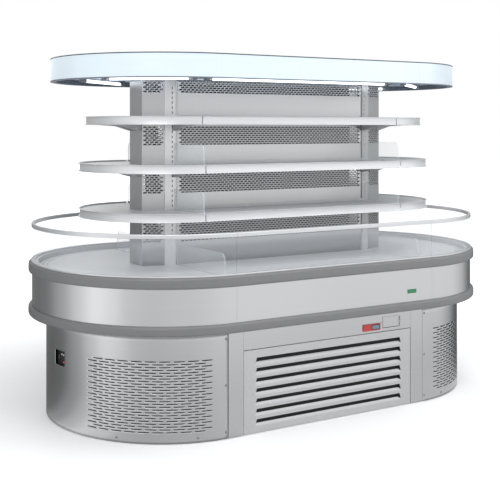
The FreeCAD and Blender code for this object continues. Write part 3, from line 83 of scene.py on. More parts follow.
def background_rays(node, link):
    """1 for the rays that show the background: to the camera, in polished metal and through glass."""
    path = node.new("ShaderNodeLightPath")
    value = path.outputs["Is Camera Ray"]
    for kind in ("Is Glossy Ray", "Is Transmission Ray"):
        either = node.new("ShaderNodeMath")
        either.operation = "MAXIMUM"
        link(value, either.inputs[0])
        link(path.outputs[kind], either.inputs[1])
        value = either.outputs[0]
    return value


direct = node.new("ShaderNodeMixShader")
link(background_rays(node, link), direct.inputs["Fac"])
link(lighting.outputs[0], direct.inputs[1])
link(seen.outputs[0], direct.inputs[2])
link(direct.outputs[0], room_out.inputs["Surface"])


def soft_light(name, place, aim, width, height, power):
    """A rectangular soft lamp that faces a point."""
    data = bpy.data.lights.new(name, "AREA")
    data.shape = "RECTANGLE"
    data.size, data.size_y, data.energy = width, height, power
    lamp = bpy.data.objects.new(name, data)
    direction = np.array(aim, float) - np.array(place, float)
    lamp.location = place
    lamp.rotation_euler = Vector(direction).to_track_quat("-Z", "Y").to_euler()
    bpy.context.scene.collection.objects.link(lamp)


soft_light("key", (-4.2, -4.6, 4.2), (0, 0, 0.8), 3.0, 2.4, 150)
soft_light("fill", (4.6, -3.6, 2.6), (0, 0, 0.7), 2.4, 2.4, 70)
soft_light("above", (0.6, -1.9, 5.0), (0, -0.3, 0.6), 4.4, 2.6, 110)
soft_light("behind", (1.5, 5.2, 3.4), (0, 0, 0.8), 3.2, 2.2, 70)

FLOOR_SIDE = 60.0
floor_mesh = bpy.data.meshes.new("floor")
corner = FLOOR_SIDE / 2
floor_mesh.from_pydata([(x * corner, y * corner, 0) for x, y in ((-1, -1), (1, -1), (1, 1), (-1, 1))],
                       [], [(0, 1, 2, 3)])
floor = bpy.data.objects.new("floor", floor_mesh)
bpy.context.scene.collection.objects.link(floor)
floor_paint = bpy.data.materials.new("pale_floor")
node, link = tree_of(floor_paint)
floor_out = node.new("ShaderNodeOutputMaterial")
matt = node.new("ShaderNodeBsdfDiffuse")
matt.inputs["Color"].default_value = (0.80, 0.80, 0.81, 1)
lift = node.new("ShaderNodeEmission")
lift.inputs["Color"].default_value = (1, 1, 1, 1)
place = node.new("ShaderNodeTexCoord")
away = node.new("ShaderNodeVectorMath")
away.operation = "LENGTH"
rise = node.new("ShaderNodeMapRange")
rise.inputs["From Min"].default_value, rise.inputs["From Max"].default_value = 1.2, 5.5
rise.inputs["To Min"].default_value, rise.inputs["To Max"].default_value = 0.12, 0.9
amount = node.new("ShaderNodeMath")
amount.operation = "MULTIPLY"
both = node.new("ShaderNodeAddShader")
link(place.outputs["Object"], away.inputs[0])
link(away.outputs["Value"], rise.inputs["Value"])
link(rise.outputs[0], amount.inputs[0])
link(background_rays(node, link), amount.inputs[1])
link(amount.outputs[0], lift.inputs["Strength"])
link(matt.outputs[0], both.inputs[0])
link(lift.outputs[0], both.inputs[1])
link(both.outputs[0], floor_out.inputs["Surface"])
floor_mesh.materials.append(floor_paint)

# A low tent of paper stands round the fridge and shows only in reflections: white, with two dark
# strips behind the ends that draw the round ends' edges, and soft grey between.
TENT_CENTRE, TENT_RADIUS, TENT_HEIGHT = 0.604, 1.25, 1.75
APRON_RADIUS = 0.60                   # the tent's paper runs in over the floor to here


def tent_tones():
    """Every tone with its place along the tent, as a share of the way round from the rear's middle."""
    side = 2 * TENT_CENTRE
    round_end = math.pi * TENT_RADIUS
    whole = 2 * side + 2 * round_end
    left = side / 2 + round_end               # from the rear's middle to the front's left corner
    tones = []
    for turn, tone in ((178, 0.7), (160, 0.22), (137, 0.20), (118, 0.24), (98, 0.55), (84, 0.95), (72, 1.30),
                       (60, 1.12), (50, 0.86), (38, 0.80), (14, 0.86), (0, 0.94)):
        tones.append((left - math.radians(turn) * TENT_RADIUS, tone))
    for x, tone in ((0.15, 1.0), (0.6, 1.02), (1.2, 0.98)):
        tones.append((left + x, tone))
    for turn, tone in ((20, 0.98), (45, 0.95), (60, 0.68), (70, 0.34), (78, 0.15), (92, 0.11), (112, 0.13),
                       (130, 0.22), (155, 0.6), (178, 0.9)):
        tones.append((left + side + math.radians(turn) * TENT_RADIUS, tone))
    return [(place / whole, tone) for place, tone in tones]


turn = np.linspace(0, np.pi, 49)
half_left = np.stack([-TENT_CENTRE - TENT_RADIUS * np.sin(turn), TENT_RADIUS * np.cos(turn)], 1)
outline = np.vstack([[(0, TENT_RADIUS)], half_left, -half_left, [(0, TENT_RADIUS)]])
centres = np.clip(outline[:, 0], -TENT_CENTRE, TENT_CENTRE)[:, None] * (1, 0)
apron = centres + (outline - centres) * APRON_RADIUS / TENT_RADIUS
run = np.append(0, np.cumsum(np.linalg.norm(np.diff(outline, axis=0), axis=1)))
count = len(outline)
tent_mesh = bpy.data.meshes.new("tent")
tent_mesh.from_pydata([(x, y, 0.002) for x, y in apron.tolist()]
                      + [(x, y, z) for z in (0.002, TENT_HEIGHT) for x, y in outline.tolist()], [],
                      [(i + 1, i, i + count, i + count + 1)
                       for k in (0, count) for i in range(k, k + count - 1)])
layer = tent_mesh.uv_layers.new(name="round")
for loop in tent_mesh.loops:
    number = loop.vertex_index
    layer.data[loop.index].uv = (run[number % count] / run[-1], max(number // count - 1, 0) * TENT_HEIGHT)
tent = bpy.data.objects.new("tent", tent_mesh)
bpy.context.scene.collection.objects.link(tent)
tent.visible_camera = tent.visible_diffuse = tent.visible_transmission = tent.visible_shadow = False
tent_paper = bpy.data.materials.new("tent_paper")
node, link = tree_of(tent_paper)
tent_out = node.new("ShaderNodeOutputMaterial")
glow = node.new("ShaderNodeEmission")
where = node.new("ShaderNodeTexCoord")
split = node.new("ShaderNodeSeparateXYZ")
ramp = node.new("ShaderNodeValToRGB")
ramp.color_ramp.interpolation = "EASE"
tones = tent_tones()
while len(ramp.color_ramp.elements) < len(tones):
    ramp.color_ramp.elements.new(0.5)
for stop, (place, tone) in zip(ramp.color_ramp.elements, tones):
    stop.position = place
    stop.color = (tone, tone, tone * 1.01, 1)
# Painted shade: the tent dims towards its foot and over its apron, standing in for the floor's shadow round
# the cabinet in reflections.
foot = node.new("ShaderNodeMapRange")
foot.inputs["From Min"].default_value, foot.inputs["From Max"].default_value = 0.05, 0.45
foot.inputs["To Min"].default_value, foot.inputs["To Max"].default_value = 0.78, 1.0
link(where.outputs["UV"], split.inputs[0])
link(split.outputs["X"], ramp.inputs["Fac"])
link(split.outputs["Y"], foot.inputs["Value"])
high = node.new("ShaderNodeMapRange")       # above the cabinet the dark strips give way to grey paper
high.inputs["From Min"].default_value, high.inputs["From Max"].default_value = 0.85, 1.05
grey = node.new("ShaderNodeMix")
grey.data_type, grey.blend_type = "RGBA", "LIGHTEN"
grey.inputs[7].default_value = (0.42, 0.42, 0.425, 1)
link(split.outputs["Y"], high.inputs["Value"])
link(high.outputs[0], grey.inputs[0])
link(ramp.outputs["Color"], grey.inputs[6])
link(grey.outputs[2], glow.inputs["Color"])
link(foot.outputs[0], glow.inputs["Strength"])
link(glow.outputs[0], tent_out.inputs["Surface"])
tent_mesh.materials.append(tent_paper)

# ---- Frame, feet and the machine space ---------------------------------------------------------
# Square steel tube welded and painted grey, on six screw feet with rubber pads. The cooling parts
# stand on the plate welded to its floor ring.


def finish_of(name, colour, metallic, roughness, coat=0.0):
    """A new material with its main shader; returns it with its nodes, link and shader."""
    material = bpy.data.materials.new(name)
    node, link = tree_of(material)
    out = node.new("ShaderNodeOutputMaterial")
    shader = node.new("ShaderNodeBsdfPrincipled")
    shader.inputs["Base Color"].default_value = (*colour, 1)
    shader.inputs["Metallic"].default_value = metallic
    shader.inputs["Roughness"].default_value = roughness
    shader.inputs["Coat Weight"].default_value = coat
    link(shader.outputs[0], out.inputs["Surface"])
    return material, node, link, shader


def vary(node, link, shader, colour, spread, scale, bump=0.0, rough=None, source="Object"):
    """Break up a flat finish with noise: its colour by a spread, its surface by a bump.

    The noise runs over the source coordinates times a scale for each axis, so a long scale on one
    axis and short ones on the others draw the noise out into a grain.
    """
    place = node.new("ShaderNodeTexCoord")
    stretch = node.new("ShaderNodeMapping")
    stretch.inputs["Scale"].default_value = scale
    noise = node.new("ShaderNodeTexNoise")
    noise.inputs["Scale"].default_value = 1.0
    noise.inputs["Detail"].default_value = 3.0
    ramp = node.new("ShaderNodeValToRGB")
    ramp.color_ramp.elements[0].position = 0.3
    ramp.color_ramp.elements[1].position = 0.7
    ramp.color_ramp.elements[0].color = (*[c * (1 - spread) for c in colour], 1)
    ramp.color_ramp.elements[1].color = (*[min(c * (1 + spread), 1) for c in colour], 1)
    link(place.outputs[source], stretch.inputs["Vector"])
    link(stretch.outputs[0], noise.inputs["Vector"])
    link(noise.outputs["Fac"], ramp.inputs["Fac"])
    link(ramp.outputs["Color"], shader.inputs["Base Color"])
    if bump:
        relief = node.new("ShaderNodeBump")
        relief.inputs["Strength"].default_value = bump
        relief.inputs["Distance"].default_value = 0.0005
        link(noise.outputs["Fac"], relief.inputs["Height"])
        link(relief.outputs[0], shader.inputs["Normal"])
    if rough:
        span = node.new("ShaderNodeMapRange")
        span.inputs["To Min"].default_value, span.inputs["To Max"].default_value = rough
        link(noise.outputs["Fac"], span.inputs["Value"])
        link(span.outputs[0], shader.inputs["Roughness"])


def plain_paint(name, colour, roughness=0.45, metallic=0.0, spread=0.05, scale=(60, 60, 60), bump=0.08):
    """Paint or moulded plastic with a slight mottle and orange peel."""
    material, node, link, shader = finish_of(name, colour, metallic, roughness)
    vary(node, link, shader, colour, spread, scale, bump)
    return material


def dress(material, *names):
    """Give a finish to CAD nodes that are shown as they are."""
    for name in names:
        slots = nodes[name].data.materials
        for index in range(len(slots)):
            slots[index] = material
        if not len(slots):
            slots.append(material)


dress(plain_paint("frame_paint", (0.16, 0.165, 0.17), 0.5), "base_frame")
dress(plain_paint("foot_rubber", (0.02, 0.02, 0.02), 0.8), "levelling_feet")
dress(plain_paint("motor_paint", (0.03, 0.03, 0.033), 0.4), "fan_motors", "compressor")
dress(plain_paint("fan_plastic", (0.02, 0.02, 0.022), 0.5), "condenser_fan", "evaporator_fan_left",
      "evaporator_fan_right")
dress(plain_paint("coil_fins", (0.45, 0.46, 0.47), 0.4, 0.9, 0.25, (900, 4, 4)), "condenser_coil",
      "evaporator_coil")
dress(plain_paint("copper", (0.72, 0.38, 0.22), 0.3, 1.0), "pipework")
dress(plain_paint("zinc_plate", (0.45, 0.46, 0.47), 0.45, 0.6), "electrical_box", "drain_pan")

# ---- End skirts --------------------------------------------------------------------------------
# Brushed stainless sheet rolled to a half round at each end of the cabinet, punched with two fields
# of staggered slots over black sheets of painted shade. The left one has a window for the controls.

MM = 0.001
SHEET = 1.5 * MM
END_CENTRE = 604 * MM
CABINET_RADIUS = 616 * MM
SEAM_GAP = 0.8 * MM
SEAM_SIDE = 1.5 * MM           # from a seam's middle to a folded edge


def brushed_steel(name, shade, roughness=0.24, source="UV", scale=(0.8, 700, 1), spread=0.018):
    """Stainless steel ground with a fine grain along the sheet."""
    colour = (shade, shade * 1.008, shade * 1.016)
    material, node, link, shader = finish_of(name, colour, 1.0, roughness)
    vary(node, link, shader, colour, spread, scale, 0.015, (roughness - 0.02, roughness + 0.02), source)
    return material


def new_piece(name, points, faces, materials, body, slot, uv=None, smooth=30, thick=0.0, replaces=()):
    """Make a piece from points and faces, shade it smooth below an angle, and fix it to a body."""
    mesh = bpy.data.meshes.new(name)
    mesh.from_pydata(points.tolist(), [], faces if isinstance(faces, list) else faces.tolist())
    for material in materials if isinstance(materials, (list, tuple)) else [materials]:
        mesh.materials.append(material)
    if uv is not None:
        corners = np.empty(len(mesh.loops), np.int32)
        mesh.loops.foreach_get("vertex_index", corners)
        layer = mesh.uv_layers.new(name="sheet")
        layer.data.foreach_set("uv", uv[corners].astype(np.float32).ravel())
    piece = bpy.data.objects.new(name, mesh)
    bpy.context.scene.collection.objects.link(piece)
    mesh.validate()
    mesh.shade_smooth()
    mesh.set_sharp_from_angle(angle=math.radians(smooth))
    if thick:
        wall = piece.modifiers.new("sheet", "SOLIDIFY")
        wall.thickness = thick
        wall.offset = -1
        wall.use_even_offset = True
    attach(piece, body)
    if replaces:
        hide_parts(*replaces)
    return piece


def slot_tile(width, height, slot_width, slot_height):
    """One punched tile round the origin: 8 points on its outside, 8 round its slot, and 8 quads."""
    w, h = width / 2, height / 2
    outer = np.array([(-w, -h), (0, -h), (w, -h), (w, 0), (w, h), (0, h), (-w, h), (-w, 0)])
    a, b = slot_width / 2, slot_height / 2
    c = a - b * 0.75
    inner = np.array([(-c, -b), (0, -b), (c, -b), (a, 0), (c, b), (0, b), (-c, b), (-a, 0)])
    k = np.arange(8)
    quads = np.stack([k, (k + 1) % 8, (k + 1) % 8 + 8, k + 8], 1)
    return np.vstack([outer, inner]), quads


def plain_cells(across, up):
    """A grid of quads on the lines across and up."""
    x, y = np.meshgrid(across, up)
    n, m = len(across), len(up)
    index = np.arange(n * m).reshape(m, n)
    quads = np.stack([index[:-1, :-1], index[:-1, 1:], index[1:, 1:], index[1:, :-1]], -1).reshape(-1, 4)
    return np.stack([x.ravel(), y.ravel()], 1), quads


def merge(patches):
    """Join flat patches and weld the points that coincide, to a hundredth of a millimetre."""
    points = np.vstack([patch[0] for patch in patches])
    starts = np.cumsum([0] + [len(patch[0]) for patch in patches[:-1]])
    quads = np.vstack([patch[1] + start for patch, start in zip(patches, starts)])
    keys = np.round(points / (0.01 * MM)).astype(np.int64)
    _, first, back = np.unique(keys, axis=0, return_index=True, return_inverse=True)
    quads = back.ravel()[quads]
    return points[first], quads


def gather(parts):
    """Put several meshes of points and faces into one."""
    starts = np.cumsum([0] + [len(points) for points, _ in parts[:-1]])
    faces = [[corner + int(start) for corner in face]
             for (_, part), start in zip(parts, starts) for face in part]
    return np.vstack([points for points, _ in parts]), faces


def slot_field(left, base, columns, rows, pitch, row_pitch, slot_width, slot_height, shifted_first=True):
    """A punched field: rows of tiles, every other row half a pitch to the right, plain at its ends."""
    tile, quads = slot_tile(pitch, row_pitch, slot_width, slot_height)
    patches = []
    for row in range(rows):
        level = base + (row + 0.5) * row_pitch
        shifted = (row % 2 == 0) == shifted_first
        start = left + (0.5 if shifted else 0.0) * pitch
        centres = start + pitch * (np.arange(columns) + 0.5)
        points = tile[None] + np.stack([centres, np.full(columns, level)], 1)[:, None]
        number = np.arange(columns)[:, None, None] * len(tile)
        patches.append((points.reshape(-1, 2), (quads[None] + number).reshape(-1, 4)))
        blank = left if shifted else left + columns * pitch
        patches.append(plain_cells(np.array([blank, blank + pitch / 2]),
                                   level + np.array([-0.5, 0, 0.5]) * row_pitch))
    return patches


VENT_PITCH = 65.8 * MM
VENT_ROW = 12.94 * MM
VENT_SLOT = (53 * MM, 4.6 * MM)
VENT_COLUMNS = 9
VENT_ROWS = 26
VENT_LEFT = 78.7 * MM          # along the round from the seam
VENT_BASE = 47.53 * MM
SKIRT_LOW = 4 * MM
SKIRT_HIGH = 509 * MM
WINDOW_HALF_TURN = math.asin(46.5 * MM / CABINET_RADIUS)
WINDOW_TURN = math.asin(53 * MM / CABINET_RADIUS)      # from the end's middle to the window's
WINDOW_CELLS = (39, 50)        # half rows between which the window is open

steel = brushed_steel("brushed_steel", 0.56)


def skirt_lines(total, window):
    """The upright lines of the skirt: fine through both vent fields, coarser elsewhere."""
    step = VENT_PITCH / 2
    field = VENT_LEFT + step * np.arange(2 * VENT_COLUMNS + 2)
    lead = np.linspace(SEAM_SIDE, VENT_LEFT, 5)[:-1]
    inner = np.linspace(field[-1], total - field[-1], 25)[1:-1]
    if window:
        inner = np.sort(np.append(inner[np.abs(inner - window[0]) > 6 * MM], window))
        inner = inner[(np.abs(inner - window[1]) > 6 * MM) | (inner == window[1])]
    return lead, field, inner


def end_skirt(side, name):
    """A flat pattern of the punched sheet, s along the round and z up, wrapped round the end.

    A point (s, z) goes to the angle s / R from the front seam: x = side (a + R sin), y = -R cos.
    """
    total = math.pi * CABINET_RADIUS
    window = None
    if side < 0:
        middle = total / 2 - WINDOW_TURN * CABINET_RADIUS
        reach = WINDOW_HALF_TURN * CABINET_RADIUS
        window = (middle - reach, middle + reach)
    lead, field, inner = skirt_lines(total, window)
    across = np.concatenate([lead, field, inner, (total - field)[::-1], (total - lead)[::-1]])
    rows = VENT_BASE + VENT_ROW / 2 * np.arange(2 * VENT_ROWS + 1)
    below = np.linspace(SKIRT_LOW, VENT_BASE, 3)
    above = np.linspace(rows[-1], SKIRT_HIGH, 4)
    patches = [plain_cells(across, below), plain_cells(across, above)]
    for start, lines in ((0, np.append(lead, field[0])), (1, (total - np.append(lead, field[0]))[::-1])):
        patches.append(plain_cells(lines, rows))
    middle_lines = np.concatenate([[field[-1]], inner, [total - field[-1]]])
    points, quads = plain_cells(middle_lines, rows)
    if window:
        centre = points[quads].mean(1)
        low, high = (VENT_BASE + VENT_ROW / 2 * k for k in WINDOW_CELLS)
        inside = (centre[:, 0] > window[0]) & (centre[:, 0] < window[1])
        inside &= (centre[:, 1] > low) & (centre[:, 1] < high)
        quads = quads[~inside]
    patches.append((points, quads))
    front = slot_field(VENT_LEFT, VENT_BASE, VENT_COLUMNS, VENT_ROWS, VENT_PITCH, VENT_ROW, *VENT_SLOT)
    patches += front
    patches += [(patch * (-1, 1) + (total, 0), quads[:, ::-1]) for patch, quads in front]
    flat, quads = merge(patches)
    turn = flat[:, 0] / CABINET_RADIUS
    x = END_CENTRE + CABINET_RADIUS * np.sin(turn)
    points = np.stack([side * x, -CABINET_RADIUS * np.cos(turn), flat[:, 1]], 1)
    if side < 0:
        quads = quads[:, ::-1]
    return new_piece(name, points, quads, steel, "cabinet", "stainless", flat, 30, SHEET,
                     ["end_panel_left" if side < 0 else "end_panel_right"])


end_skirt(-1, "end_skirt_left")
end_skirt(1, "end_skirt_right")

SHADE_SHEET_LAP = 12 * MM              # the shade sheets' lap past the slots
SHADE_SHEET_BACK, SHADE_SHEET_FACE = 610.2 * MM, 614.2 * MM
BOX_FACES = [[3, 2, 1, 0], [4, 5, 6, 7], [0, 1, 5, 4], [1, 2, 6, 5], [2, 3, 7, 6], [3, 0, 4, 7]]
# Painted shade: black sheets behind the vent fields and the louvres make the openings read dark, where the
# cabinet's inside lies in shade.
vent_shade_black = plain_paint("black_shade_sheet", (0.012, 0.012, 0.012), 0.9, 0.0, 0.5, (700, 700, 700))


def vent_shade_sheet(side, face):
    """A curved black sheet of painted shade behind one vent field: a sector of the round, just inside the
    sheet.
    """
    turn = np.linspace(VENT_LEFT - SHADE_SHEET_LAP, VENT_LEFT + (VENT_COLUMNS + 0.5) * VENT_PITCH + SHADE_SHEET_LAP, 25)
    turn = turn / CABINET_RADIUS
    low, high = VENT_BASE - SHADE_SHEET_LAP, VENT_BASE + VENT_ROWS * VENT_ROW + SHADE_SHEET_LAP
    rings = []
    for radius, level in ((SHADE_SHEET_BACK, low), (SHADE_SHEET_FACE, low), (SHADE_SHEET_FACE, high), (SHADE_SHEET_BACK, high)):
        x = END_CENTRE + radius * np.sin(turn)
        rings.append(np.stack([side * x, face * radius * np.cos(turn), np.full(len(turn), level)], 1))
    points = np.stack(rings, 1).reshape(-1, 3)
    index = np.arange(len(points)).reshape(-1, 4)
    quads = np.stack([index[:-1], index[1:], np.roll(index, -1, 1)[1:], np.roll(index, -1, 1)[:-1]], -1)
    faces = quads.reshape(-1, 4).tolist() + [index[0].tolist(), index[-1, ::-1].tolist()]
    return points, faces if side * face > 0 else [one[::-1] for one in faces]


def louvre_shade_sheet(face):
    """The black sheet of painted shade behind one louvred panel: a thin box, clear of the blades."""
    half, back, front, low, high = 486, 597, 601, 30, 388
    outline = ((-half, front), (half, front), (half, back), (-half, back))
    corners = np.array([(x, face * y, z) for z in (low, high) for x, y in outline])
    return corners * MM, [one[::-1] for one in BOX_FACES] if face > 0 else BOX_FACES


shade_sheets = [vent_shade_sheet(side, face) for side in (-1, 1) for face in (-1, 1)]
shade_sheets += [louvre_shade_sheet(face) for face in (-1, 1)]
new_piece("opening_shade_sheets", *gather(shade_sheets), vent_shade_black, "cabinet", "control_black")

# ---- Flat steelwork of the cabinet ---------------------------------------------------------------
# Folded stainless strips close the corners beside the round ends, and a plain folded panel runs
# above each louvred one. The front one has the service cover on its hinge. Screws hold the skirts.

flat_steel = brushed_steel("brushed_flat_steel", 0.56, 0.24, "Object", (0.8, 20, 700))
dress(flat_steel, "corner_fillers", "top_strips")


def turned(profile, start, axis, sides=24):
    """A round piece: each (along, radius) of the profile becomes a ring of points.

    A point is start + along * d + radius * (cos t * u + sin t * v), where u, v and the axis d are
    square to each other. A flat face closes each end.
    """
    d = np.array(axis, float)
    u = np.cross(d, (0.31, 0.45, 0.84))
    u /= np.linalg.norm(u)
    v = np.cross(d, u)
    along, radius = np.array(profile, float).T
    t = np.linspace(0, 2 * np.pi, sides, endpoint=False)
    spread = np.cos(t)[:, None] * u + np.sin(t)[:, None] * v
    points = np.array(start) + along[:, None, None] * d + radius[:, None, None] * spread
    index = np.arange(len(along) * sides).reshape(-1, sides)
    after = np.roll(index, -1, 1)
    quads = np.stack([index[:-1], after[:-1], after[1:], index[1:]], -1).reshape(-1, 4)
    return points.reshape(-1, 3), quads.tolist() + [index[0, ::-1].tolist(), index[-1].tolist()]


def round_box(left, right, low, high, radius, steps=5):
    """A rectangle with round corners, anticlockwise from its lower right."""
    t = np.linspace(-np.pi / 2, 0, steps + 1)
    quarter = np.stack([np.cos(t), np.sin(t)], 1) * radius
    corners = []
    for turn, (x, y) in enumerate(((right - radius, low + radius), (right - radius, high - radius),
                                   (left + radius, high - radius), (left + radius, low + radius))):
        c, s = math.cos(turn * math.pi / 2), math.sin(turn * math.pi / 2)
        corners.append(quarter @ np.array([[c, s], [-s, c]]) + (x, y))
    return np.vstack(corners)


def slab(outline, low, high, plane="xy", bottom=True):
    """A flat plate: an anticlockwise outline at two levels, closed by flat faces.

    In plane "xz" the outline lies across the front, and the levels run along -y.
    """
    n = len(outline)
    both = np.vstack([np.column_stack([outline, np.full(n, level)]) for level in (low, high)])
    i = np.arange(n)
    j = (i + 1) % n
    faces = np.stack([i, j, j + n, i + n], 1).tolist() + [(i + n).tolist()]
    if bottom:
        faces.append(i[::-1].tolist())
    if plane == "xz":
        both = np.stack([both[:, 0], -both[:, 2], both[:, 1]], 1)
    return both, faces


def bevel(piece, width, segments=2):
    """Round the piece's sharp edges."""
    ease = piece.modifiers.new("edges", "BEVEL")
    ease.width = width
    ease.segments = segments
    ease.limit_method = "ANGLE"
    ease.angle_limit = math.radians(40)
    return piece


SCREW_IN = 13 * MM             # from the corner strip's seam to the skirt's screws
SCREW_X = END_CENTRE + SCREW_IN
SCREW_DROP = CABINET_RADIUS - math.sqrt(CABINET_RADIUS ** 2 - SCREW_IN ** 2)
SCREW_LEVELS = (34 * MM, 250.5 * MM, 467 * MM)
LOW_SCREW_TURNS = (14.5, 50)   # degrees round the end from its front or rear seam
LOW_SCREW_LEVEL = 24 * MM
SCREW_HEAD = [(-9 * MM, 2.3 * MM), (0, 2.3 * MM), (0, 6 * MM), (0.9 * MM, 5.6 * MM),
              (1.8 * MM, 4.4 * MM), (2.4 * MM, 2.2 * MM), (2.4 * MM, 1.6 * MM), (1.2 * MM, 0.9 * MM)]
screws = [turned(SCREW_HEAD, (side * SCREW_X, face * (CABINET_RADIUS - SCREW_DROP + 0.3 * MM), level),
                 (0, face, 0), 16)
          for side in (-1, 1) for face in (-1, 1) for level in SCREW_LEVELS]
for turn in np.radians(LOW_SCREW_TURNS).tolist():
    for side, face in ((-1, -1), (-1, 1), (1, -1), (1, 1)):
        out = (side * math.sin(turn), face * math.cos(turn), 0)
        foot = (side * END_CENTRE + out[0] * CABINET_RADIUS, out[1] * CABINET_RADIUS, LOW_SCREW_LEVEL)
        screws.append(turned(SCREW_HEAD, foot, out, 16))
screw_zinc = plain_paint("screw_zinc", (0.30, 0.30, 0.31), 0.35, 1.0)
new_piece("skirt_screws", *gather(screws), screw_zinc, "cabinet", "screw", smooth=40,
          replaces=["panel_screws"])
catch = turned([(0, 3.4 * MM), (1.4 * MM, 3.2 * MM), (2.0 * MM, 2.0 * MM), (2.0 * MM, 1.0 * MM)],
               (0.322, -0.616, 0.447), (0, -1, 0), 16)
leaf_screw = turned([(0, 2.6 * MM), (0.8 * MM, 2.4 * MM), (1.2 * MM, 1.4 * MM)],
                    (0.456, -0.6178, 0.447), (0, -1, 0), 16)
new_piece("flap_catch_and_screw", *gather([catch, leaf_screw]), screw_zinc, "cabinet", "screw", smooth=40)

FLAP = (0.3326, 0.4452, 0.4196, 0.4732)     # left, right, low and high
HINGE_LINE = (0.4463, -0.6189)
cover = slab(round_box(*FLAP, 1 * MM), 0.6145, 0.616, "xz")
arm = slab(round_box(HINGE_LINE[0] - 12 * MM, HINGE_LINE[0], 0.438, 0.453, 0.5 * MM), 0.6162, 0.6177, "xz")
knuckle = turned([(0, 2.6 * MM), (15 * MM, 2.6 * MM)], (*HINGE_LINE, 0.438), (0, 0, 1), 20)
service_cover = new_piece("service_flap_cover", *gather([cover, arm, knuckle]), flat_steel, "service_flap",
                          "stainless", smooth=40, replaces=["service_flap"])
bevel(service_cover, 0.4 * MM)

# ---- Louvred panels ------------------------------------------------------------------------------
# A folded sheet of silver painted steel with seven louvres: under each opening the sheet is pressed
# in to a leaning blade. One hangs at the front and one at the rear, and both lift off.

PANEL_HALF = 521 * MM - SEAM_SIDE
PANEL_LOW, PANEL_HIGH = 4 * MM, 401 * MM - 1.8 * SEAM_SIDE
PANEL_RETURN = 14 * MM
FOLD_RADIUS = 1.6 * MM
LOUVRE_HALF = 455 * MM
LOUVRE_FEET = (31 + 48.6 * np.arange(7)) * MM
LOUVRE_RISE = 18 * MM          # from the foot to the blade's free edge
LOUVRE_TALL = 36.5 * MM        # from the foot to the top of the opening
LOUVRE_DEPTH = 9 * MM
LOUVRE_SLANT = 9 * MM          # the opening's ends, in at its top
SUPPORT = 1 * MM               # plain metal kept flat beside a fold or an opening
LOUVRE_END = 15 * MM           # over which the blade's end runs out
END_RISE = 0.4                 # the free edge's height at its very end, as a share of its rise

panel_paint = plain_paint("silver_panel_paint", (0.56, 0.565, 0.57), 0.24, 0.72, 0.03, (90, 90, 90), 0.05)


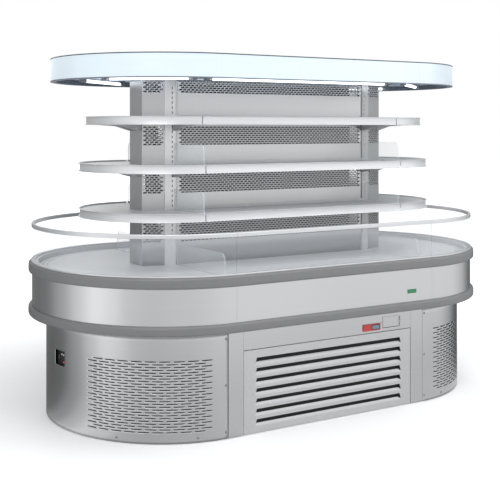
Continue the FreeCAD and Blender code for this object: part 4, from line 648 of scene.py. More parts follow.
def louvred_sheet(face):
    """The pressed sheet as a grid over (x, z), folded back past its edges by what lies beyond.

    Over a blade the sheet leans in by depth * t^1.9 * sqrt(1 - e^4), where t runs up from its foot and e
    runs over its last 15 mm at each end, and its free edge comes down with sqrt(1 - e^2). Above the
    blade the sheet is open, and the opening's ends lean in towards its top.
    """
    turn = np.linspace(0, np.pi / 2, 9)
    tips = LOUVRE_HALF - LOUVRE_END * (1 - np.sin(turn))
    fold = np.array([0, 0.3, 0.7, 1]) * FOLD_RADIUS * np.pi / 2
    half = np.concatenate([np.linspace(0, tips[0], 7)[:-1], tips,
                           [LOUVRE_HALF + SUPPORT, PANEL_HALF - FOLD_RADIUS - SUPPORT],
                           PANEL_HALF - FOLD_RADIUS + fold, [PANEL_HALF + PANEL_RETURN]])
    x = np.concatenate([-half[:0:-1], half])
    end = np.clip((np.abs(x) - LOUVRE_HALF + LOUVRE_END) / LOUVRE_END, 0, 1)
    lean = np.sqrt(1 - end ** 4)
    edge = END_RISE + (1 - END_RISE) * np.sqrt(1 - end ** 2)
    patches = []

    def folded(across, limit):
        """Run a flat place past an edge: round the fold's quarter circle, then straight back."""
        past = np.maximum(np.abs(across) - limit + FOLD_RADIUS, 0)
        angle = np.minimum(past / FOLD_RADIUS, np.pi / 2)
        flat = np.minimum(np.abs(across), limit - FOLD_RADIUS) + FOLD_RADIUS * np.sin(angle)
        back = FOLD_RADIUS * (1 - np.cos(angle)) + np.maximum(past - FOLD_RADIUS * np.pi / 2, 0)
        return np.sign(across) * flat, back

    def rows(levels, depth, narrow=None, columns=True):
        """Add the grid between rows of levels, each row's opening narrowed by its share of the slant."""
        grid_z = levels if levels.ndim > 1 else levels[:, None] + 0 * x
        share = np.zeros(len(levels)) if narrow is None else narrow
        knots = [0, LOUVRE_HALF, PANEL_HALF - FOLD_RADIUS, 1]
        narrowed = [[0, LOUVRE_HALF - one * LOUVRE_SLANT, *knots[2:]] for one in share]
        grid_x = np.stack([np.sign(x) * np.interp(np.abs(x), knots, places) for places in narrowed])
        middle = (PANEL_LOW + PANEL_HIGH) / 2
        px, back_x = folded(grid_x, PANEL_HALF)
        pz, back_z = folded(grid_z - middle, PANEL_HIGH - middle)
        y = -CABINET_RADIUS + back_x + back_z + depth
        points = np.stack([px, y, pz + middle], -1)
        index = np.arange(grid_x.size).reshape(grid_x.shape)
        quads = np.stack([index[:-1, :-1], index[:-1, 1:], index[1:, 1:], index[1:, :-1]], -1)
        deep = np.minimum(back_x, back_z)
        corner = deep[:-1, :-1] + deep[1:, 1:] + deep[:-1, 1:] + deep[1:, :-1] > FOLD_RADIUS
        patches.append((points.reshape(-1, 3), quads[~corner & columns]))

    outside = np.minimum(np.abs(x[:-1]), np.abs(x[1:])) > LOUVRE_HALF - 0.1 * MM
    t = np.append(np.linspace(0, 0.95, 8), 1)[:, None]
    below = np.concatenate([[PANEL_LOW - PANEL_RETURN], PANEL_LOW + FOLD_RADIUS - fold[::-1],
                            [PANEL_LOW + FOLD_RADIUS + SUPPORT]])
    share = np.zeros(len(below))
    for foot in LOUVRE_FEET:
        levels = np.append(below, foot)
        rows(levels, 0, np.append(share, 0))
        rows(foot + LOUVRE_RISE * t * edge, LOUVRE_DEPTH * t ** 1.9 * lean)
        sides = np.stack([foot + LOUVRE_RISE * edge, np.full(len(x), foot + LOUVRE_TALL)])
        rows(sides, 0, np.array([0, 1]), outside)
        below, share = foot + LOUVRE_TALL + np.array([0, SUPPORT]), np.ones(2)
    levels = np.concatenate([below, [PANEL_HIGH - FOLD_RADIUS - SUPPORT], PANEL_HIGH - FOLD_RADIUS + fold,
                             [PANEL_HIGH + PANEL_RETURN]])
    rows(levels, 0, np.append(share, np.zeros(len(levels) - len(share))))
    points, quads = merge(patches)
    return points * (-face, -face, 1), quads


for face, name in ((-1, "front"), (1, "rear")):
    new_piece("louvred_panel_" + name, *louvred_sheet(face), panel_paint, "grille_" + name, "grille_steel",
              smooth=50, thick=SHEET, replaces=["grille_" + name])

# ---- Thermometer ---------------------------------------------------------------------------------
# A red moulded case glued to the strip, with a black bezel round a small liquid crystal window.

CASE = (0.200, 0.313, 0.412, 0.447)
CASE_BACK, CASE_FACE = -0.6163, -0.6208

red_case = plain_paint("red_moulding", (0.52, 0.045, 0.045), 0.32, 0.0, 0.06, (200, 200, 200))
bezel_black = plain_paint("black_moulding", (0.012, 0.012, 0.014), 0.4)
crystal = plain_paint("liquid_crystal", (0.17, 0.25, 0.31), 0.22, 0.0, 0.08, (300, 300, 300), 0.0)
bevel(new_piece("thermometer_case", *slab(round_box(*CASE, 4 * MM), -CASE_BACK, -CASE_FACE, "xz"), red_case,
                "cabinet", "thermometer_case", replaces=["thermometer"]), 1.2 * MM, 3)
BEZEL_FACE = CASE_FACE - 0.3 * MM
bezel = slab(round_box(0.2545, 0.3085, 0.4165, 0.4425, 2 * MM), -CASE_FACE, -BEZEL_FACE, "xz")
bevel(new_piece("thermometer_bezel", *bezel, bezel_black, "cabinet", "control_black"), 0.2 * MM)
window = slab(round_box(0.258, 0.305, 0.420, 0.439, 1 * MM), -BEZEL_FACE, -BEZEL_FACE + 0.2 * MM, "xz")
new_piece("thermometer_window", *window, crystal, "cabinet", "thermometer_case")

# ---- Controls behind the end window --------------------------------------------------------------
# A black control box with two push buttons, a rocker switch and a red pilot light.

dress(plain_paint("control_moulding", (0.012, 0.012, 0.013), 0.5), "controller")
CONTROL_FACE = -1.206
BUTTON_LEVEL, PILOT_LEVEL = 352.5 * MM, 318 * MM
UPPER_Y, LOWER_Y = -81.6 * MM, -59.6 * MM
BUTTON_SHAPE = [(0, 5 * MM), (5.8 * MM, 5 * MM), (6.9 * MM, 4.7 * MM), (7.4 * MM, 4.0 * MM),
                (7.5 * MM, 2 * MM)]
button_plastic = plain_paint("button_plastic", (0.55, 0.55, 0.52), 0.35)
for name, y in (("button_up", UPPER_Y), ("button_down", LOWER_Y)):
    cap = turned(BUTTON_SHAPE, (-1.2015, y, BUTTON_LEVEL), (-1, 0, 0), 28)
    new_piece(name + "_cap", *cap, button_plastic, name, "button", smooth=35, replaces=[name])
ROCKER_SIDES = (-0.0324, -0.0208)
rocker = np.array([(-1.2000, 0.3245), (-1.2000, 0.3455), (-1.2098, 0.3455), (-1.2085, 0.335),
                   (-1.2098, 0.3245)])
rocker_points = np.vstack([np.column_stack([rocker[:, 0], np.full(5, y), rocker[:, 1]])
                           for y in ROCKER_SIDES])
rocker_faces = [[0, 1, 2, 3, 4], [9, 8, 7, 6, 5]]
rocker_faces += [[k, k + 5, (k + 1) % 5 + 5, (k + 1) % 5] for k in range(5)]
rocker_plastic = plain_paint("rocker_plastic", (0.05, 0.05, 0.055), 0.3)
bevel(new_piece("rocker_cap", rocker_points, rocker_faces, rocker_plastic, "power_switch", "button",
                replaces=["power_switch"]), 0.6 * MM)
pilot, node, link, shader = finish_of("pilot_red", (0.5, 0.01, 0.01), 0.0, 0.2)
vary(node, link, shader, (0.5, 0.01, 0.01), 0.1, (400, 400, 400))
shader.inputs["Emission Color"].default_value = (1, 0.03, 0.02, 1)
shader.inputs["Emission Strength"].default_value = 1.5
new_piece("pilot_light", *turned([(0, 3 * MM), (1.6 * MM, 2.8 * MM), (2.6 * MM, 1.6 * MM)],
                                 (CONTROL_FACE, UPPER_Y, PILOT_LEVEL), (-1, 0, 0), 20), pilot, "cabinet",
          "control_black", smooth=50)

# ---- Bumpers, band and tub -----------------------------------------------------------------------
# Two rounded rails of grey PVC run round the whole fridge, clipped over the edges of the tub, with
# a brushed stainless band between them in two straight lengths and two half rounds.

ARC_STEPS = 72


def track(centre, section, gap=0.0, span=None):
    """Stations along the plan, each a foot (x, y) and the outward direction there.

    Along a side the foot runs with x and the direction is square to it; round an end the foot stays at
    the half round's centre and the direction turns as (sin t, -cos t). The rear and left are the front
    and right turned half round. "ring" joins all four into a loop.
    """
    half = centre - gap / 2
    x = np.linspace(*(span or (-half, half)), 9)
    front = np.stack([x, 0 * x, 0 * x, 0 * x - 1], 1)
    t = np.linspace(0, np.pi, ARC_STEPS + 1)
    right = np.stack([centre + 0 * t, 0 * t, np.sin(t), -np.cos(t)], 1)
    right[[0, -1], 0] += gap / 2
    if section == "ring":
        return np.vstack([front[:-1], right[:-1], -front[:-1], -right[:-1]])
    return {"front": front, "right": right, "rear": -front, "left": -right}[section]


def carried(profile, path, loop=False):
    """Carry a closed profile of (radius, height) along a path of stations.

    A point is foot + radius * direction, at the profile's height. Its place on the sheet is the
    distance along the path and round the profile. Flat faces close an open path's ends.
    """
    radius, height = profile.T
    points = np.empty((len(path), len(profile), 3))
    points[..., :2] = path[:, None, :2] + radius[:, None] * path[:, None, 2:]
    points[..., 2] = height
    n, m = len(path), len(profile)
    index = np.arange(n * m).reshape(n, m)
    here, ahead = (index, np.roll(index, -1, 0)) if loop else (index[:-1], index[1:])
    quads = np.stack([here, ahead, np.roll(ahead, -1, 1), np.roll(here, -1, 1)], -1).reshape(-1, 4).tolist()
    if not loop:
        quads += [index[0].tolist(), index[-1, ::-1].tolist()]
    outer = points[:, np.argmax(radius)]
    run = np.append(0, np.cumsum(np.linalg.norm(np.diff(outer, axis=0), axis=1)))
    round_it = np.append(0, np.cumsum(np.linalg.norm(np.diff(profile, axis=0), axis=1)))
    uv = np.stack(np.meshgrid(run, round_it, indexing="ij"), -1).reshape(-1, 2)
    return points.reshape(-1, 3), quads, uv


def eased(corners, radii, steps=3):
    """Round each corner P of an outline by (1-t)^2 (P + r u) + 2 t (1-t) P + t^2 (P + r v).

    u and v are the directions to the corner before and the corner after.
    """
    corner = np.array(corners, float)
    radius = np.broadcast_to(np.array(radii, float), len(corner))[:, None]
    back = np.roll(corner, 1, 0) - corner
    ahead = np.roll(corner, -1, 0) - corner
    back /= np.linalg.norm(back, axis=1)[:, None]
    ahead /= np.linalg.norm(ahead, axis=1)[:, None]
    t = np.linspace(0, 1, steps + 1)[None, :, None]
    places = (corner + radius * back, corner, corner + radius * ahead)
    start, middle, end = (place[:, None] for place in places)
    return ((1 - t) ** 2 * start + 2 * t * (1 - t) * middle + t ** 2 * end).reshape(-1, 2)


def rail_section(inner, outer, low, high, radii, steps=3):
    """A four cornered section of (radius, height), its corners rounded from the inner foot round."""
    return eased([(inner, low), (outer, low), (outer, high), (inner, high)], radii, steps)


BUMPER_RADIUS = 706 * MM
BAND_RADIUS = 688 * MM
grey_pvc = plain_paint("grey_pvc", (0.17, 0.17, 0.175), 0.44, 0.0, 0.04, (150, 150, 150), 0.12)
for name, low, high in (("lower_bumper", 509 * MM, 553 * MM), ("upper_bumper", 721 * MM, 772 * MM)):
    section = rail_section(686.5 * MM, BUMPER_RADIUS, low, high, np.array([0.5, 12, 12, 0.5]) * MM, 6)
    points, faces, _ = carried(section, track(END_CENTRE, "ring"), True)
    new_piece(name + "_rail", points, faces, grey_pvc, "cabinet", "bumper", smooth=50, replaces=[name])

band_steel = brushed_steel("brushed_band_steel", 0.60, 0.24)
band_section = rail_section(686.5 * MM, BAND_RADIUS, 553.3 * MM, 720.7 * MM, 0.4 * MM, 1)
for part, sections in (("sides", ("front", "rear")), ("ends", ("left", "right"))):
    for side in sections:
        points, faces, uv = carried(band_section, track(END_CENTRE, side, SEAM_GAP))
        new_piece("band_" + side, points, faces, band_steel, "cabinet", "stainless", uv, 40,
                  replaces=["band_" + part])
dress(plain_paint("tub_liner", (0.62, 0.63, 0.64), 0.35), "insulated_tub")
badge_green = plain_paint("badge_green", (0.03, 0.19, 0.09), 0.3, 0.0, 0.1, (120, 120, 120))
badge = slab(round_box(0.434, 0.495, 0.597, 0.618, 3 * MM), BAND_RADIUS, BAND_RADIUS + 1 * MM, "xz")
bevel(new_piece("badge_plate", *badge, badge_green, "cabinet", "thermometer_case"), 0.4 * MM)

# ---- Glass rim -----------------------------------------------------------------------------------
# Four panes of clear glass, two flat and two bent, stand in an aluminium channel on the tub's rim
# and carry a rounded cap rail.

anodised = plain_paint("anodised_aluminium", (0.62, 0.63, 0.64), 0.3, 0.6, 0.03, (8, 8, 500), 0.04)
channel_section = rail_section(674 * MM, 694 * MM, 772.3 * MM, 780 * MM, 1.5 * MM)
rail_round = rail_section(677 * MM, 691 * MM, 948 * MM, 968 * MM, np.array([1, 1, 5, 5]) * MM, 5)
for name, section, node_name in (("channel", channel_section, "glass_channel"),
                                 ("cap_rail", rail_round, "top_rail")):
    for side in ("front", "right", "rear", "left"):
        points, faces, uv = carried(section, track(END_CENTRE, side, 1.2 * MM))
        new_piece("%s_%s" % (name, side), points, faces, anodised, "cabinet", "aluminium", uv, 45,
                  replaces=[node_name])

clear_glass, node, link, shader = finish_of("clear_glass", (0.70, 0.73, 0.76), 0.0, 0.04)
vary(node, link, shader, (0.70, 0.73, 0.76), 0.02, (3, 3, 3))
shader.inputs["Alpha"].default_value = 0.13
shader.inputs["IOR"].default_value = 1.5
pane_section = rail_section(680 * MM, 688 * MM, 775.3 * MM, 958 * MM, 1 * MM, 2)
for side in ("front", "rear", "left", "right"):
    points, faces, uv = carried(pane_section, track(END_CENTRE, side, 1.6 * MM))
    new_piece("pane_" + side, points, faces, clear_glass, "cabinet", "glass", uv, 40,
              replaces=["glass_" + side])

# ---- Deck and air return -------------------------------------------------------------------------
# The cold deck is four lift-out pans of folded coated steel. Round them runs the air return, a strip
# with a row of small slots, whose skirt stands on the tub's floor and carries the pans' ledge.

pan_coat = plain_paint("coated_steel", (0.60, 0.61, 0.625), 0.4, 0.0, 0.03, (50, 50, 50), 0.06)
RETURN_PITCH = 24 * MM
RETURN_SLOT = (15 * MM, 5 * MM)
RETURN_INNER, RETURN_OUTER = 609.9 * MM, 655.9 * MM
DECK_LEVEL = 750 * MM


def return_strip():
    """One flat strip of slots, drawn as (distance, radius), bent round the plan.

    Along a side distance is x; round an end it is the angle times the strip's middle radius.
    """
    middle = (RETURN_INNER + RETURN_OUTER) / 2
    side_long = 2 * END_CENTRE
    end_long = math.pi * middle
    patches = []
    for run in (side_long, end_long):
        count = round(run / RETURN_PITCH)
        pitch = run / count
        tile, quads = slot_tile(pitch, RETURN_PITCH / 2, *RETURN_SLOT)
        centres = np.stack([pitch * (np.arange(count) + 0.5), np.full(count, middle)], 1)
        points = tile[None] + centres[:, None]
        quads = (quads[None] + np.arange(count)[:, None, None] * len(tile)).reshape(-1, 4)
        across = pitch / 2 * np.arange(2 * count + 1)
        row = RETURN_PITCH / 4
        patches.append(merge([(points.reshape(-1, 2), quads),
                              plain_cells(across, np.array([RETURN_INNER, middle - row])),
                              plain_cells(across, np.array([middle + row, RETURN_OUTER]))]))
    (side_flat, side_quads), (end_flat, end_quads) = patches
    side = np.stack([side_flat[:, 0] - END_CENTRE, -side_flat[:, 1], np.full(len(side_flat), DECK_LEVEL)], 1)
    turn = end_flat[:, 0] / middle
    end = np.stack([END_CENTRE + end_flat[:, 1] * np.sin(turn), -end_flat[:, 1] * np.cos(turn),
                    np.full(len(end_flat), DECK_LEVEL)], 1)
    flip = (-1, -1, 1)
    return merge([(side, side_quads[:, ::-1]), (end, end_quads[:, ::-1]),
                  (side * flip, side_quads[:, ::-1]), (end * flip, end_quads[:, ::-1])])


new_piece("air_return_strip", *return_strip(), pan_coat, "cabinet", "tub", thick=SHEET,
          replaces=["return_grille"])
skirt_section = np.array([(609.9, 551.6), (611.4, 551.6), (611.4, 748.4), (609.9, 748.4), (609.9, 729.7),
                          (595.9, 729.7), (595.9, 727.7), (609.9, 727.7)]) * MM
points, faces, _ = carried(skirt_section, track(END_CENTRE, "ring"), True)
new_piece("air_return_skirt", points, faces, pan_coat, "cabinet", "tub", replaces=["return_grille"])

COLUMN_HALF, COLUMN_WIDE = 611 * MM, 120 * MM
NOSE_END, NOSE_WIDE = 779 * MM, 69 * MM
PAN_DEEP = 20 * MM
SECTION_GAP = 6 * MM


def straight_outline(centre, edge, face):
    """A pan beside the column, between two section joints."""
    side = centre - SECTION_GAP / 2
    near, far = COLUMN_WIDE + 0.8 * MM, edge
    corners = np.array([(-side, -far), (side, -far), (side, -near), (-side, -near)])
    return corners if face < 0 else -corners


def round_outline(centre, edge, side):
    """A half round pan with the column's tapered end let into it."""
    start = centre + SECTION_GAP / 2
    t = np.linspace(0, np.pi, 49)[1:-1]
    arc = np.stack([centre + edge * np.sin(t), -edge * np.cos(t)], 1)
    grow = 0.8 * MM
    fall = (COLUMN_WIDE - NOSE_WIDE) / (NOSE_END - COLUMN_HALF)
    notch = COLUMN_WIDE + grow - (start - COLUMN_HALF) * fall
    tip, wide = NOSE_END + grow, NOSE_WIDE + grow
    outline = np.vstack([[(start, -edge)], arc, [(start, edge), (start, notch), (tip, wide), (tip, -wide),
                                                 (start, -notch)]])
    return outline * side


def folded_pan(name, outline, top, body, node_name, slot_name, more=None):
    """A pan pressed from sheet: its face and the skirt folded down round it."""
    parts = [slab(outline, top - PAN_DEEP, top, bottom=False)] + ([more] if more else [])
    pan = new_piece(name, *gather(parts), pan_coat, body, slot_name, thick=SHEET, replaces=[node_name])
    return bevel(pan, 1.0 * MM)


DECK_EDGE = 609.1 * MM
for name, face in (("front", -1), ("rear", 1)):
    folded_pan("deck_pan_" + name, straight_outline(END_CENTRE, DECK_EDGE, face), DECK_LEVEL, "deck_" + name,
               "deck_" + name, "tub")
for name, side in (("left", -1), ("right", 1)):
    folded_pan("deck_pan_" + name, round_outline(END_CENTRE, DECK_EDGE, side), DECK_LEVEL, "deck_ends",
               "deck_ends", "tub")

# ---- Air column ----------------------------------------------------------------------------------
# Perforated stainless panels on four slotted posts, with a tapered perforated cover over each end.
# Cold air leaves through four bands of fine staggered slots, one under each shelf and the canopy.

COLUMN_LOW, COLUMN_TOP = 750.3 * MM, 1694 * MM
PERF_PITCH, PERF_ROW = 24 * MM, 11 * MM
PERF_SLOT = (18 * MM, 4.5 * MM)
PERF_BANDS = ((865 * MM, 11), (1114 * MM, 10), (1359 * MM, 9), (1628 * MM, 6))

column_steel = brushed_steel("brushed_column_steel", 0.58, 0.30, "UV", (900, 3, 1))
dress(brushed_steel("brushed_post_steel", 0.74, 0.3, "Object", (700, 700, 3)), "column_frame")


def perforated(left, columns, edges):
    """A flat sheet (s, z) with the four slotted bands, plain between them and out to its edges."""
    field = left + PERF_PITCH / 2 * np.arange(2 * columns + 2)
    across = np.unique(np.round(np.concatenate([edges, field]), 7))
    outside = across[(across <= field[0] + 1e-6)], across[(across >= field[-1] - 1e-6)]
    patches = []
    level = COLUMN_LOW
    for base, rows in PERF_BANDS:
        patches.append(plain_cells(across, np.array([level, base])))
        patches += slot_field(left, base, columns, rows, PERF_PITCH, PERF_ROW, *PERF_SLOT)
        lines = base + PERF_ROW / 2 * np.arange(2 * rows + 1)
        patches += [plain_cells(side, lines) for side in outside if len(side) > 1]
        level = base + rows * PERF_ROW
    if COLUMN_TOP - level > 0.5 * MM:
        patches.append(plain_cells(across, np.array([level, COLUMN_TOP])))
    return patches


flat, quads = merge(perforated(-594 * MM, 49, np.array([-610.6, 610.6]) * MM))
for name, face in (("front", 1), ("rear", -1)):
    points = np.stack([face * flat[:, 0], np.full(len(flat), -face * COLUMN_WIDE), flat[:, 1]], 1)
    new_piece("air_panel_" + name, points, quads, column_steel, "cabinet", "stainless", flat, thick=SHEET,
              replaces=["column_panel_" + name])

NOSE_START = 666.8 * MM
nose_fall = (COLUMN_WIDE - NOSE_WIDE) / (NOSE_END - COLUMN_HALF)
nose_wide_at_start = COLUMN_WIDE - (NOSE_START - COLUMN_HALF) * nose_fall
NOSE_FACET = math.hypot(NOSE_END - NOSE_START, nose_wide_at_start - NOSE_WIDE)
NOSE_MARGIN = 4.7 * MM
folds = np.cumsum([0, NOSE_FACET, 2 * NOSE_WIDE, NOSE_FACET])
facet = perforated(NOSE_MARGIN, 4, np.array([0, NOSE_FACET]))
mirrored_facet = [(patch * (-1, 1) + (folds[-1], 0), cells[:, ::-1]) for patch, cells in facet]
levels = np.unique(np.round(np.concatenate([patch[np.abs(patch[:, 0] - NOSE_FACET) < 1e-6, 1]
                                            for patch, _ in facet]), 7))
flat, quads = merge(facet + mirrored_facet + [plain_cells(folds[1:3], levels)])
fold_x = np.interp(flat[:, 0], folds, [NOSE_START, NOSE_END, NOSE_END, NOSE_START])
fold_y = np.interp(flat[:, 0], folds, [-nose_wide_at_start, -NOSE_WIDE, NOSE_WIDE, nose_wide_at_start])
for name, side in (("left", -1), ("right", 1)):
    points = np.stack([side * fold_x, side * fold_y, flat[:, 1]], 1)
    new_piece("column_nose_" + name, points, quads, column_steel, "cabinet", "stainless", flat, 15, SHEET,
              ["column_noses"])

BOARD_LOW, BOARD_HIGH = 752, 1681
BOARD_OUTLINE = ((-611, -4), (611, -4), (611, 4), (-611, 4))
duct_board = np.array([(x, y, z) for z in (BOARD_LOW, BOARD_HIGH) for x, y in BOARD_OUTLINE])
new_piece("duct_board", duct_board * MM, BOX_FACES, plain_paint("duct_lining", (0.03, 0.03, 0.032), 0.7),
          "cabinet", "insulation")

# ---- Shelves -------------------------------------------------------------------------------------
# Three tiers of coated steel pans on bracket arms. Each section has a ticket rail of white C-shaped
# extrusion round its edge and, along the straight sides, an upstand against the column.

SHELF_CENTRE = 618 * MM
TIERS = (("high", 1464 * MM, 408 * MM), ("middle", 1228 * MM, 441 * MM), ("low", 996 * MM, 441 * MM))
rail_white = plain_paint("ticket_rail_white", (0.66, 0.67, 0.68), 0.44, 0.45, 0.025, (10, 10, 300), 0.04)
dress(plain_paint("arm_paint", (0.48, 0.49, 0.50), 0.4), "shelf_brackets")


def ticket_rail(base, reach):
    """The C-shaped section of (radius, height), open outwards between its two lips."""
    deep, tall, wall = 10 * MM, 42 * MM, 2 * MM
    top = base + tall
    corners = [(reach - deep, base), (reach, base), (reach, base + wall), (reach - deep + wall, base + wall),
               (reach - deep + wall, top - wall), (reach, top - wall), (reach, top), (reach - deep, top)]
    return eased(corners, 0.7 * MM, 2)


for tier, base, reach in TIERS:
    edge = reach - 10.3 * MM
    top = base + 34 * MM
    for face, name in ((-1, "front"), (1, "rear")):
        body = "shelf_%s_%s" % (tier, name)
        near = COLUMN_WIDE + 0.8 * MM
        side = SHELF_CENTRE - SECTION_GAP / 2
        lip = np.array([(-side, -near), (side, -near), (side, -near), (-side, -near)]) * -face
        upstand = (np.column_stack([lip, [top, top, top + 14 * MM, top + 14 * MM]]), [[3, 2, 1, 0]])
        folded_pan("pan_%s_%s" % (tier, name), straight_outline(SHELF_CENTRE, edge, face), top, body, body,
                   "shelf_paint", upstand)
    for side, name in ((-1, "left"), (1, "right")):
        body = "shelf_%s_ends" % tier
        folded_pan("pan_%s_%s" % (tier, name), round_outline(SHELF_CENTRE, edge, side), top, body, body,
                   "shelf_paint")
    for name in ("front", "rear", "left", "right"):
        body = "shelf_%s_%s" % (tier, name if name in ("front", "rear") else "ends")
        points, faces, uv = carried(ticket_rail(base, reach), track(SHELF_CENTRE, name, SECTION_GAP))
        new_piece("ticket_rail_%s_%s" % (tier, name), points, faces, rail_white, body, "shelf_paint", uv, 40)

# ---- Dividers ------------------------------------------------------------------------------------
# Clear acrylic plates, polished round their edges, that stand in the joints between sections.

acrylic, node, link, shader = finish_of("clear_acrylic", (0.82, 0.89, 0.92), 0.0, 0.05)
vary(node, link, shader, (0.82, 0.89, 0.92), 0.02, (5, 5, 5))
shader.inputs["Alpha"].default_value = 0.15
# The plates' edges get a painted highlight: a bluer finish, far more opaque than the faces.
acrylic_edge_highlight, node, link, shader = finish_of("acrylic_edge_highlight", (0.74, 0.84, 0.88), 0.0, 0.15)
vary(node, link, shader, (0.74, 0.84, 0.88), 0.04, (60, 60, 60))
shader.inputs["Alpha"].default_value = 0.6


def divider_outline(far, low):
    """The plate's side view (distance from the middle, height), its upper outer corner round."""
    near, high, radius = 123.8 * MM, low + 128 * MM, 34 * MM
    t = np.linspace(0, np.pi / 2, 9)
    corner = np.stack([far - radius + radius * np.cos(t), high - radius + radius * np.sin(t)], 1)
    return np.vstack([[(near, low), (far, low)], corner, [(near, high)]])


plates = []
for centre, far, low in ((604 * MM, 583.9 * MM, 730 * MM), (618 * MM, 415 * MM, 1010 * MM),
                         (618 * MM, 415 * MM, 1242 * MM)):
    outline = divider_outline(far, low)
    for side in (-1, 1):
        for face in (-1, 1):
            points, faces = slab(outline, side * centre - 2 * MM, side * centre + 2 * MM)
            points = np.stack([points[:, 2], face * points[:, 0], points[:, 1]], 1)
            plates.append((points, faces if face > 0 else [one[::-1] for one in faces]))
points, faces = gather(plates)
divider_plates = new_piece("divider_plates", points, faces, [acrylic, acrylic_edge_highlight], "cabinet", "acrylic",
                           replaces=["dividers"])
corners = np.empty(len(divider_plates.data.polygons), np.int32)
divider_plates.data.polygons.foreach_get("loop_total", corners)
divider_plates.data.polygons.foreach_set("material_index", (corners == 4).astype(np.int32))

# ---- Canopy --------------------------------------------------------------------------------------
# A lit box on the posts: a folded tray painted blue grey with a darker trim, opal acrylic panels lit
# from inside all round its edge, and a thin dark cover.

CANOPY_CENTRE, CANOPY_RADIUS = 620 * MM, 581 * MM
CANOPY_TOP = 1800 * MM
canopy_dark = plain_paint("canopy_blue_grey", (0.055, 0.075, 0.095), 0.4, 0.0, 0.05)
trim_blue = plain_paint("canopy_trim_grey", (0.15, 0.18, 0.22), 0.4, 0.0, 0.05)
tray_section = np.array([(554.8, 1682), (581, 1682), (581, 1687), (579.5, 1687), (579.5, 1683.5),
                         (556.5, 1683.5), (556.5, 1711.5), (554.8, 1711.5)]) * MM
points, faces, _ = carried(eased(tray_section, 0.4 * MM, 1), track(CANOPY_CENTRE, "ring"), True)
new_piece("canopy_trim", points, faces, trim_blue, "cabinet", "canopy_paint", smooth=40,
          replaces=["canopy_tray"])


def tray_plate():
    """The plate between the column and the tray's wall: each station of the plan joined to the column.

    Along a side the inner point lies square across; round an end it runs along the tapered nose by the
    share of the half turn.
    """
    path = track(CANOPY_CENTRE, "ring")
    outer = path[:, :2] + 554.8 * MM * path[:, 2:]
    turn = np.arctan2(np.abs(path[:, 2]), -path[:, 3]) / np.pi
    tip, wide, start = NOSE_END + 0.8 * MM, NOSE_WIDE + 0.8 * MM, COLUMN_HALF
    knots = [0, 0.3, 0.7, 1]
    x = np.interp(turn, knots, [start, tip, tip, start])
    y = np.interp(turn, knots, [-COLUMN_WIDE, -wide, wide, COLUMN_WIDE]) * (1 + 0.8 / 120)
    on_side = np.abs(path[:, 2]) < 1e-9
    side = np.where(path[:, 2] < -1e-9, -1, 1)
    inner = np.stack([np.where(on_side, np.clip(path[:, 0], -start, start), side * x), y], 1)
    level = 1710 * MM
    ring = np.vstack([np.column_stack([outer, np.full(len(outer), level)]),
                      np.column_stack([inner, np.full(len(inner), level)])])
    n = len(path)
    i = np.arange(n)
    j = (i + 1) % n
    return ring, np.stack([i, i + n, j + n, j], 1)


tray_grey = plain_paint("tray_blue_grey", (0.44, 0.54, 0.66), 0.4, 0.0, 0.05)
new_piece("canopy_tray_plate", *tray_plate(), tray_grey, "cabinet", "canopy_paint", thick=-SHEET,
          replaces=["canopy_tray"])

OPAL = (0.24, 0.27, 0.30)
opal, node, link, shader = finish_of("lit_opal", OPAL, 0.0, 0.35)
vary(node, link, shader, OPAL, 0.03, (4, 4, 30))
shader.inputs["Emission Color"].default_value = (0.66, 0.76, 0.82, 1)
place = node.new("ShaderNodeTexCoord")
axes = node.new("ShaderNodeSeparateXYZ")
along = node.new("ShaderNodeMapRange")
along.inputs["From Min"].default_value, along.inputs["From Max"].default_value = -1.2, 1.2
fade = node.new("ShaderNodeValToRGB")       # the tubes inside stop short of the round ends
stops = ((0, 0.66), (0.012, 0.77), (0.05, 0.80), (0.70, 0.80), (0.84, 0.62), (0.917, 0.49), (1, 0.45))
while len(fade.color_ramp.elements) < len(stops):
    fade.color_ramp.elements.new(0.5)
for stop, (share, tone) in zip(fade.color_ramp.elements, stops):
    stop.position, stop.color = share, (tone, tone, tone, 1)
link(place.outputs["Object"], axes.inputs[0])
link(axes.outputs["X"], along.inputs["Value"])
link(along.outputs[0], fade.inputs["Fac"])
link(fade.outputs["Color"], shader.inputs["Emission Strength"])
opal_section = rail_section(571.2 * MM, 579.2 * MM, 1683.8 * MM, 1794.7 * MM, 0.8 * MM, 1)
JOINTS = (-0.6194, -0.130, 0.366, 0.6194)
PANEL_GAP = 1.2 * MM
for side in ("front", "rear"):
    for number, (start, end) in enumerate(zip(JOINTS, JOINTS[1:])):
        span = (start + PANEL_GAP / 2, end - PANEL_GAP / 2)
        points, faces, uv = carried(opal_section, track(CANOPY_CENTRE, side, span=span))
        new_piece("opal_%s_%d" % (side, number + 1), points, faces, opal, "cabinet", "diffuser", uv, 40,
                  replaces=["canopy_diffuser"])
for side in ("left", "right"):
    points, faces, uv = carried(opal_section, track(CANOPY_CENTRE, side, PANEL_GAP))
    new_piece("opal_" + side, points, faces, opal, "cabinet", "diffuser", uv, 40,
              replaces=["canopy_diffuser"])

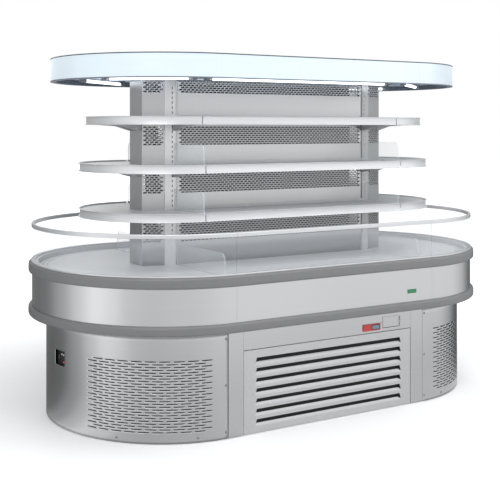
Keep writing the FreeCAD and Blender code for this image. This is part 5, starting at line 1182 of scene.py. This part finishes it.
path = track(CANOPY_CENTRE, "ring")
COVER_LOW = 1795 * MM
cover = slab(path[:, :2] + CANOPY_RADIUS * path[:, 2:], COVER_LOW, CANOPY_TOP)
bevel(new_piece("canopy_cover_plate", *cover, canopy_dark, "cabinet", "canopy_paint", smooth=40,
                replaces=["canopy_cover"]), 1.5 * MM, 3)

# ---- Lamps ---------------------------------------------------------------------------------------
# Fluorescent tubes under the canopy: a glass tube with an aluminium cap at each end, held in white
# moulded lampholders.

LAMP_RADIUS = 8 * MM
LAMP_LEVEL = 1689 * MM
lamp_glass, node, link, shader = finish_of("lamp_phosphor", (0.9, 0.92, 0.94), 0.0, 0.3)
vary(node, link, shader, (0.9, 0.92, 0.94), 0.01, (20, 20, 20))
shader.inputs["Emission Color"].default_value = (0.93, 0.97, 1.0, 1)
shader.inputs["Emission Strength"].default_value = 2.2
CAP_LONG = 22 * MM


def lamp_parts(start, end):
    """The profile of one tube: a glass body between two caps whose rims are rounded over."""
    start, end = np.array(start), np.array(end)
    length = np.linalg.norm(end - start)
    axis = (end - start) / length
    r = LAMP_RADIUS
    glass = turned([(CAP_LONG, r * 0.98), (length - CAP_LONG, r * 0.98)], start, axis, 24)
    cap = [(0, r * 0.5), (0.5 * MM, r * 0.85), (2 * MM, r), (CAP_LONG, r)]
    return glass, turned(cap, start, axis, 24), turned(cap, end, -axis, 24)


SHORT_START, SHORT_LONG = (0.669, -0.399), 0.433
slope = math.radians(38)
short_end = (SHORT_START[0] + SHORT_LONG * math.cos(slope), SHORT_START[1] + SHORT_LONG * math.sin(slope))
tube_ends = [((-0.571, -0.374), (0.571, -0.374)), (SHORT_START, short_end)]
tubes = []
for start, end in tube_ends:
    for side in (-1, 1):
        for face in (-1, 1):
            if side < 0 and start[0] < 0:
                continue
            tubes.append(lamp_parts((side * start[0], face * start[1], LAMP_LEVEL),
                                    (side * end[0], face * end[1], LAMP_LEVEL)))
new_piece("lamp_glass_tubes", *gather([tube[0] for tube in tubes]), lamp_glass, "cabinet", "lamp", smooth=40,
          replaces=["lamp_tubes"])
new_piece("lamp_end_caps", *gather([cap for tube in tubes for cap in tube[1:]]), anodised, "cabinet",
          "aluminium", smooth=40, replaces=["lamp_tubes"])
dress(plain_paint("holder_moulding", (0.25, 0.26, 0.27), 0.4), "lamp_holders")
